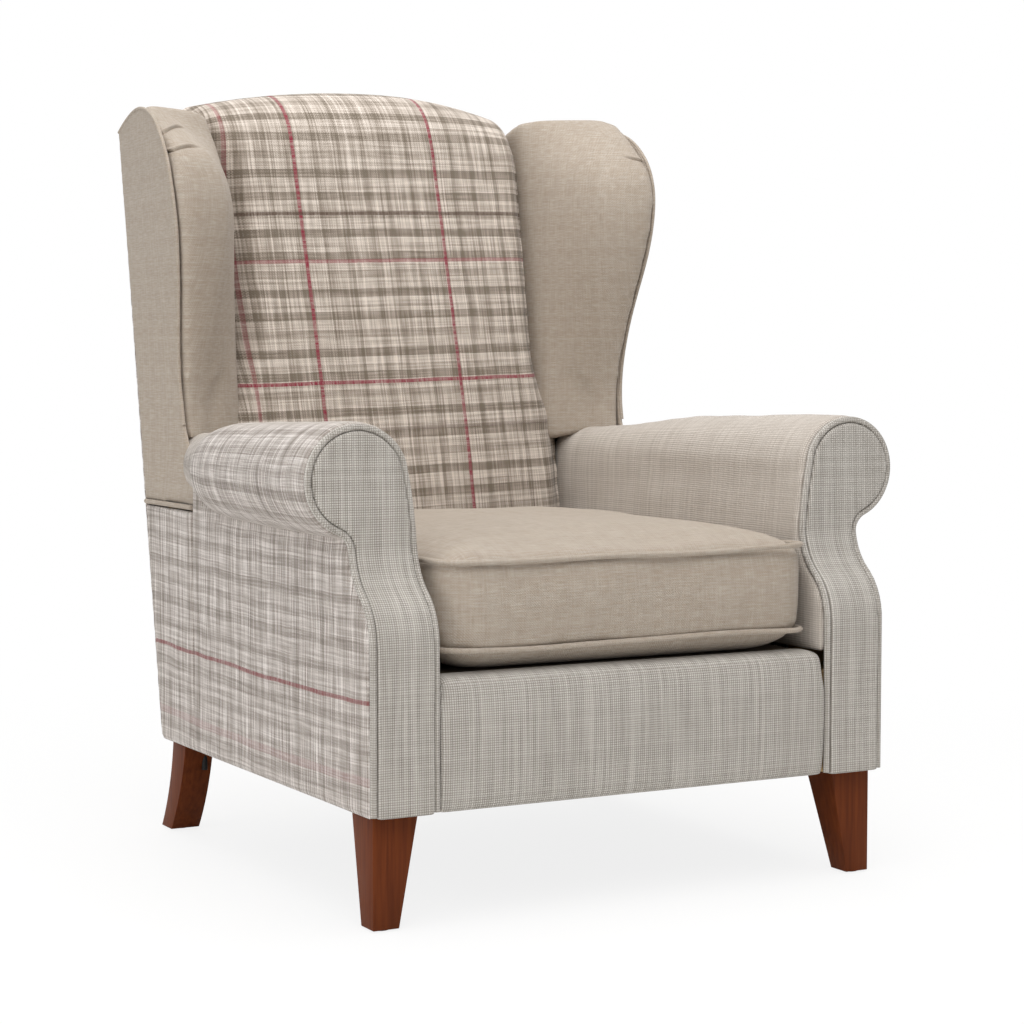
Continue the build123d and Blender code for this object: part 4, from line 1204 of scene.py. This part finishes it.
class MakeArms(bpy.types.Operator):
    """Make the padded rolled arms"""

    bl_idname = "chair.arms"
    bl_label = "Arms"

    # The cone that carries the roll back to the wing: its two ends and their radii.
    root = ((0.3585, -0.084, 0.5410), (0.3273, 0.200, 0.5440))
    root_radii = (0.0668, 0.0445)
    # Heights over which the pad comes out from behind the seat cushion.
    shown_from = (0.45, 0.50)

    def execute(self, context):
        for side, sign in SIDES:
            pad = copy_of(side + "_arm_pad", side + "_arm_upholstery")
            (x, y, z), (end_x, end_y, end_z) = self.root
            add_cone(pad, (sign * x, y, z), (sign * end_x, end_y, end_z), *self.root_radii)
            evened(pad, VOXELS["arm_pad"])
            co = points_of(pad)
            rear = bump_between(co[:, 1], -0.02, 0.03) * bump_between(co[:, 2], *self.shown_from)
            relax(pad, 4)
            relax(pad, 40, 0.5 * rear)
            subdivided(pad)
            co = points_of(pad)
            level = waves(co, 0.15, 21 + sign) * 0.0010 + waves(co, 0.05, 31 + sign) * 0.0004
            push(pad, level * bump_between(co[:, 2], *self.shown_from))
            dress(pad, "arm", "chair", side + "_arm_pad", slot="check_cloth", chart=self.lay, fill=0.8)
        return {"FINISHED"}

    def lay(self, co, normals):
        """The cloth wraps round the roll: along runs with the girth, across with the arm's length."""
        s = sizes()
        x = np.abs(co[:, 0]) - s.scroll_half
        z = co[:, 2] - s.scroll_height
        angle = np.arctan2(z, x)
        girth = s.scroll_height + s.scroll_radius * angle
        inside = (x < 0) & (z < 0)
        start = s.scroll_height + s.scroll_radius * pi
        along = np.where(inside, start + (s.scroll_height - co[:, 2]), girth)
        return co[:, 1], along


class MakeFacings(bpy.types.Operator):
    """Make the scroll facings and the piping round them"""

    bl_idname = "chair.facings"
    bl_label = "Arm facings"

    def execute(self, context):
        s = sizes()
        setback = 0.006
        for side, sign in SIDES:
            pad = even_copy(side + "_facing", side + "_facing_pad", VOXELS["facing"])
            relax(pad, 6)
            push(pad, facing_front(pad, 0.3, 0.8) * waves(points_of(pad), 0.12, 41 + sign) * 0.0005)
            dress(pad, "check", "chair", side + "_facing", slot="check_cloth", chart=self.lay, fill=0.9)
            path = [(sign * x, FRONT + setback + sweep_at(z), z)
                    for x, z in facing_outline(s.facing_cord)]
            piping = along_path(side + "_facing_cord", path, False, cord_tree(), "check",
                                Radius=s.facing_cord, Sides=14)
            dress(piping, "check", "chair", side + "_facing_piping", slot="check_cloth")
        return {"FINISHED"}

    def lay(self, co, normals):
        return co[:, 0], co[:, 2] + co[:, 1] * 0.3


class MakeBorder(bpy.types.Operator):
    """Make the upholstered border over the front rail"""

    bl_idname = "chair.border"
    bl_label = "Front border"

    # The border's top strip, how far back the cloth goes over the rail, and how far it stands up there.
    top_strip = 0.05
    lip_depth = 0.058
    crown = 0.006
    # How far the padding sags at its foot and swells to the front.
    sag = 0.0045
    swell = 0.0055

    def execute(self, context):
        pad = copy_of("front_border", "front_border_pad")
        low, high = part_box("front_border")
        co = points_of(pad)
        lip = (co[:, 1] > high.y - 0.001) & (co[:, 2] > high.z - self.top_strip)
        co[lip, 1] = low.y + self.lip_depth
        co[:, 2] += self.crown * bump_between(co[:, 2], high.z - self.top_strip, high.z)
        move_points(pad, co)
        evened(pad, VOXELS["front_border"])
        co = points_of(pad)
        share = bump_between(co[:, 2], high.z - 0.045, high.z - 0.02)
        relax(pad, 36, 0.15 + 0.35 * share)
        co = points_of(pad)
        co[:, 2] -= self.sag * (1 - bump_between(co[:, 2], low.z + 0.004, low.z + 0.03))
        level = np.clip((co[:, 2] - low.z) / (high.z - low.z), 0, 1)
        co[:, 1] -= self.swell * np.sin(pi * level) ** 0.6
        move_points(pad, co)
        push(pad, facing_front(pad, 0.3, 0.8) * waves(co, 0.2, 51) * 0.0007)
        dress(pad, "check", "chair", "front_border", slot="check_cloth", fill=0.9)
        return {"FINISHED"}


class MakePanels(bpy.types.Operator):
    """Make the outside arms, rear sides and outside back: cloth stretched over card"""

    bl_idname = "chair.panels"
    bl_label = "Outer panels"

    # The outside arm's top edge: the strip that is tucked, how far up and how far in.
    tuck_strip = 0.020
    tuck_rise = 0.009
    tuck_in = 0.002
    # How far each panel's edge moves to close the seam.
    seam_closing = 0.0016
    # Sag of the outside arm's cloth.
    cloth_sag = 0.004

    def execute(self, context):
        for side, sign in SIDES:
            for number, part in enumerate(("outside_arm", "rear_side")):
                node = side + "_" + part
                panel = even_copy(node, node + "_panel", VOXELS["side_panel"])
                relax(panel, 2)
                co = points_of(panel)
                if part == "outside_arm":
                    self.tuck(co, sign)
                self.meet(co, part)
                move_points(panel, co)
                outward = bump_between(normals_of(panel)[:, 0] * sign, 0.3, 0.8)
                co[:, 0] += sign * outward * waves(co, 0.15, 61 + 2 * number + sign) * 0.0006
                move_points(panel, co)
                dress(panel, "faded", "chair", node, slot="faded_plaid_cloth", chart=self.lay, fill=1.0)
            piping = self.base_piping(side, sign)
            dress(piping, "beige", "chair", side + "_wing_base_piping", slot="beige_cloth")
        back = even_copy("outside_back", "outside_back_panel", VOXELS["outside_back"])
        relax(back, 2)
        dress(back, "faded", "chair", "outside_back", slot="faded_plaid_cloth", fill=1.0)
        return {"FINISHED"}

    def tuck(self, co, sign):
        """Carry the panel's top edge up into the roll, where it is tacked."""
        strip = 0.004
        place = np.round((co[:, 1] - FRONT) / strip).astype(int).clip(0)
        top = np.zeros(place.max() + 1)
        np.maximum.at(top, place, co[:, 2])
        near = bump_between(co[:, 2], top[place] - self.tuck_strip, top[place] - 0.004)
        co[:, 2] += self.tuck_rise * near
        co[:, 0] -= sign * self.tuck_in * near

    def meet(self, co, part):
        """Bring the two panels' edges together at their seam."""
        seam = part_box("right_rear_side")[0].y
        if part == "outside_arm":
            co[:, 1] += self.seam_closing * bump_between(co[:, 1], seam - 0.012, seam - 0.003)
        else:
            short = 1 - bump_between(co[:, 1], seam + 0.003, seam + 0.012)
            co[:, 1] -= self.seam_closing * short

    def base_piping(self, side, sign):
        s = sizes()
        low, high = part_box(side + "_wing_base_piping")
        x = sign * (s.body_half - 0.0005)
        z = (low.z + high.z) / 2
        rear = high.y - 0.005
        path = [(x, y, z) for y in np.linspace(low.y, rear, 21)]
        return along_path(side + "_wing_base_cord", path, False, cord_tree(), "beige",
                          Radius=s.wing_cord, Sides=12)

    def lay(self, co, normals):
        """The outside arm's cloth sags a little towards its front, and its lines with it."""
        sag = self.cloth_sag * np.sin((co[:, 1] + 0.44) * 5)
        return co[:, 1], co[:, 2] + sag


class MakeLegs(bpy.types.Operator):
    """Round the edges of the legs and stain them"""

    bl_idname = "chair.legs"
    bl_label = "Legs"

    def execute(self, context):
        for side, _ in SIDES:
            for part in ("front_leg", "back_leg"):
                node = side + "_" + part
                leg = copy_of(node, node + "_stained")
                with edited(leg.data) as bm:
                    bmesh.ops.dissolve_limit(bm, angle_limit=radians(1), verts=bm.verts, edges=bm.edges)
                bevel = leg.modifiers.new("eased", "BEVEL")
                bevel.width = 0.0012
                bevel.segments = 3
                bevel.limit_method = "ANGLE"
                bevel.angle_limit = radians(35)
                baked(leg)
                leg.data.shade_smooth()
                leg.data.set_sharp_from_angle(angle=radians(35))
                leg.data.materials.clear()
                leg.data.materials.append(finish_named("leg"))
                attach(leg, "chair")
                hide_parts(node)
        return {"FINISHED"}


class MakeUnderside(bpy.types.Operator):
    """Make the seat deck, the dust cover and its staples"""

    bl_idname = "chair.underside"
    bl_label = "Deck and underside"

    def execute(self, context):
        deck = even_copy("seat_deck", "seat_deck_cloth", VOXELS["seat_deck"])
        relax(deck, 3)
        dress(deck, "platform", "chair", "seat_deck", slot="platform_cloth", fill=0.9)
        self.dust_cover()
        return {"FINISHED"}

    def dust_cover(self):
        """A thin black cloth stretched under the frame, with a slight sag between its staples."""
        low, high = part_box("dust_cover")
        steps = 40
        deepest = 0.0006
        row = steps + 1
        shares = [i / steps for i in range(row)]
        vertices = [(low.x + (high.x - low.x) * u, low.y + (high.y - low.y) * v,
                     low.z + 0.0008 - deepest * sin(pi * u) * sin(pi * v))
                    for v in shares for u in shares]
        faces = [(a, a + row, a + row + 1, a + 1)
                 for j in range(steps) for a in range(j * row, j * row + steps)]
        mesh = bpy.data.meshes.new("dust_cover_cloth")
        mesh.from_pydata(vertices, [], faces)
        cloth = link("dust_cover_cloth", mesh)
        solid = cloth.modifiers.new("thick", "SOLIDIFY")
        solid.thickness = 0.0006
        solid.offset = 0.0
        baked(cloth)
        dress(cloth, "dust", "chair", "dust_cover", slot="dust_cloth")
        margin = 0.012
        x0, x1, y0, y1 = low.x + margin, high.x - margin, low.y + margin, high.y - margin
        z = low.z + 0.0003
        ring = [(x0, y0, z), (x1, y0, z), (x1, y1, z), (x0, y1, z)]
        staples = along_path("dust_cover_staples", ring, True, row_tree(), "staple", Spacing=0.032,
                             Block=(0.0012, 0.0008, 0.0100), Turn=0.12, Seed=3)
        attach(staples, "chair")


class FinishFrame(bpy.types.Operator):
    """Give the timbers, springs, webbing, zip and glides their materials"""

    bl_idname = "chair.frame"
    bl_label = "Frame and fittings"

    def execute(self, context):
        finishes = {
            "frame_timber": "timber",
            "steel_wire": "steel",
            "webbing": "webbing",
            "glide_nylon": "nylon",
            "zip_tape": "tape",
            "zip_brass": "brass",
            "platform_cloth": "platform",
            "dust_cloth": "dust",
        }
        for part in frame["record"]["subparts"]:
            finish = "bolt" if part["node"] == "leg_bolts" else finishes.get(part["material_slot"])
            node = frame["nodes"][part["node"]]
            if finish and not node.hide_render:
                node.data.materials.clear()
                node.data.materials.append(finish_named(finish))
        return {"FINISHED"}


class MakeStage(bpy.types.Operator):
    """Set the camera, the soft studio light and the pale floor"""

    bl_idname = "chair.stage"
    bl_label = "Stage"

    def execute(self, context):
        self.camera()
        self.lamps()
        self.floor()
        self.background()
        context.scene.view_settings.view_transform = "Standard"
        return {"FINISHED"}

    def camera(self):
        data = bpy.data.cameras.new("camera")
        data.lens = CAMERA_LENS
        data.sensor_width = 36.0
        data.clip_end = 50.0
        camera = bpy.data.objects.new("camera", data)
        camera.location = CAMERA_PLACE
        camera.rotation_euler = (radians(90 + CAMERA_TILT), 0.0, radians(CAMERA_TURN))
        bpy.context.scene.collection.objects.link(camera)
        bpy.context.scene.camera = camera

    def lamps(self):
        places = (
            ("key", (-1.4, -2.4, 3.2), 2.4, 62.0),
            ("top", (0.2, -0.3, 3.0), 2.6, 55.0),
            ("fill", (-3.2, -0.6, 1.6), 2.2, 25.0),
            ("rear", (0.5, 3.0, 2.4), 2.4, 25.0),
        )
        for name, place, size, power in places:
            data = bpy.data.lights.new(name, "AREA")
            data.size = size
            data.energy = power
            lamp = bpy.data.objects.new(name, data)
            lamp.location = place
            aim = Vector((0.0, 0.0, 0.5)) - Vector(place)
            lamp.rotation_euler = aim.to_track_quat("-Z", "Y").to_euler()
            bpy.context.scene.collection.objects.link(lamp)

    def floor(self):
        """A pale floor that keeps the soft shadow near the chair and turns plain white away from it."""
        half = 12.0
        # Distance from the chair's middle where the white starts and where it is full, and its start.
        near, far, start = 0.5, 1.8, 0.84
        mesh = bpy.data.meshes.new("floor")
        corners = [(-half, -half, 0), (half, -half, 0), (half, half, 0), (-half, half, 0)]
        mesh.from_pydata(corners, [], [(0, 1, 2, 3)])
        floor = link("floor", mesh)
        material, tree, shader = new_material("pale_floor")
        set_inputs(shader, Base_Color=colours().floor, Roughness=0.9)
        glow = add_node(tree, "ShaderNodeEmission", {"Color": (1.0, 1.0, 1.0, 1.0), "Strength": 1.0})
        rays = add_node(tree, "ShaderNodeLightPath")
        place = add_node(tree, "ShaderNodeTexCoord")
        away = add_node(tree, "ShaderNodeVectorMath", {0: place.outputs["Object"]}, operation="LENGTH")
        plain = add_node(tree, "ShaderNodeMapRange",
                         {0: away.outputs["Value"], 1: near, 2: far, 3: start, 4: 1.0})
        share = maths(tree, "MULTIPLY", rays.outputs["Is Camera Ray"], plain.outputs[0])
        both = add_node(tree, "ShaderNodeMixShader",
                        {0: share, 1: shader.outputs[0], 2: glow.outputs[0]})
        output = next(n for n in tree.nodes if n.type == "OUTPUT_MATERIAL")
        tree.links.new(both.outputs[0], output.inputs["Surface"])
        mesh.materials.append(material)

    def background(self):
        """White where the camera or a reflection sees it, and a soft even light elsewhere."""
        world = bpy.data.worlds.new("studio")
        bpy.context.scene.world = world
        world.use_nodes = True
        tree = world.node_tree
        tree.nodes.clear()
        rays = add_node(tree, "ShaderNodeLightPath")
        seen = maths(tree, "MAXIMUM", rays.outputs["Is Camera Ray"], rays.outputs["Is Glossy Ray"])
        shown = maths(tree, "MAXIMUM", seen, rays.outputs["Is Transmission Ray"])
        light = add_node(tree, "ShaderNodeBackground",
                         {"Color": (1.0, 1.0, 1.0, 1.0),
                          "Strength": scaled(tree, shown, SEEN_LIGHT, SOFT_LIGHT)})
        add_node(tree, "ShaderNodeOutputWorld", {0: light.outputs[0]})


class ChairPanel(bpy.types.Panel):
    """The chair's operators and values in the 3D view's sidebar"""

    bl_idname = "CHAIR_PT_panel"
    bl_label = "Fireside chair"
    bl_space_type = "VIEW_3D"
    bl_region_type = "UI"
    bl_category = "Chair"

    def draw(self, context):
        for operator in OPERATORS:
            self.layout.operator(operator.bl_idname)
        for group in (context.scene.chair_sizes, context.scene.chair_colours):
            for name in group.bl_rna.properties.keys():
                if name not in ("rna_type", "name"):
                    self.layout.prop(group, name)


OPERATORS = (MakeStage, MakeCushion, MakeInsideBack, MakeWings, MakeArms, MakeFacings, MakeBorder,
             MakePanels, MakeLegs, MakeUnderside, FinishFrame)
CLASSES = (ChairSizes, ChairColours) + OPERATORS + (ChairPanel,)


def register():
    for item in CLASSES:
        bpy.utils.register_class(item)
    bpy.types.Scene.chair_sizes = bpy.props.PointerProperty(type=ChairSizes)
    bpy.types.Scene.chair_colours = bpy.props.PointerProperty(type=ChairColours)


def unregister():
    del bpy.types.Scene.chair_colours
    del bpy.types.Scene.chair_sizes
    for item in reversed(CLASSES):
        bpy.utils.unregister_class(item)


def main():
    register()
    for operator in OPERATORS:
        group, name = operator.bl_idname.split(".")
        getattr(getattr(bpy.ops, group), name)()


if __name__ == "__main__":
    main()
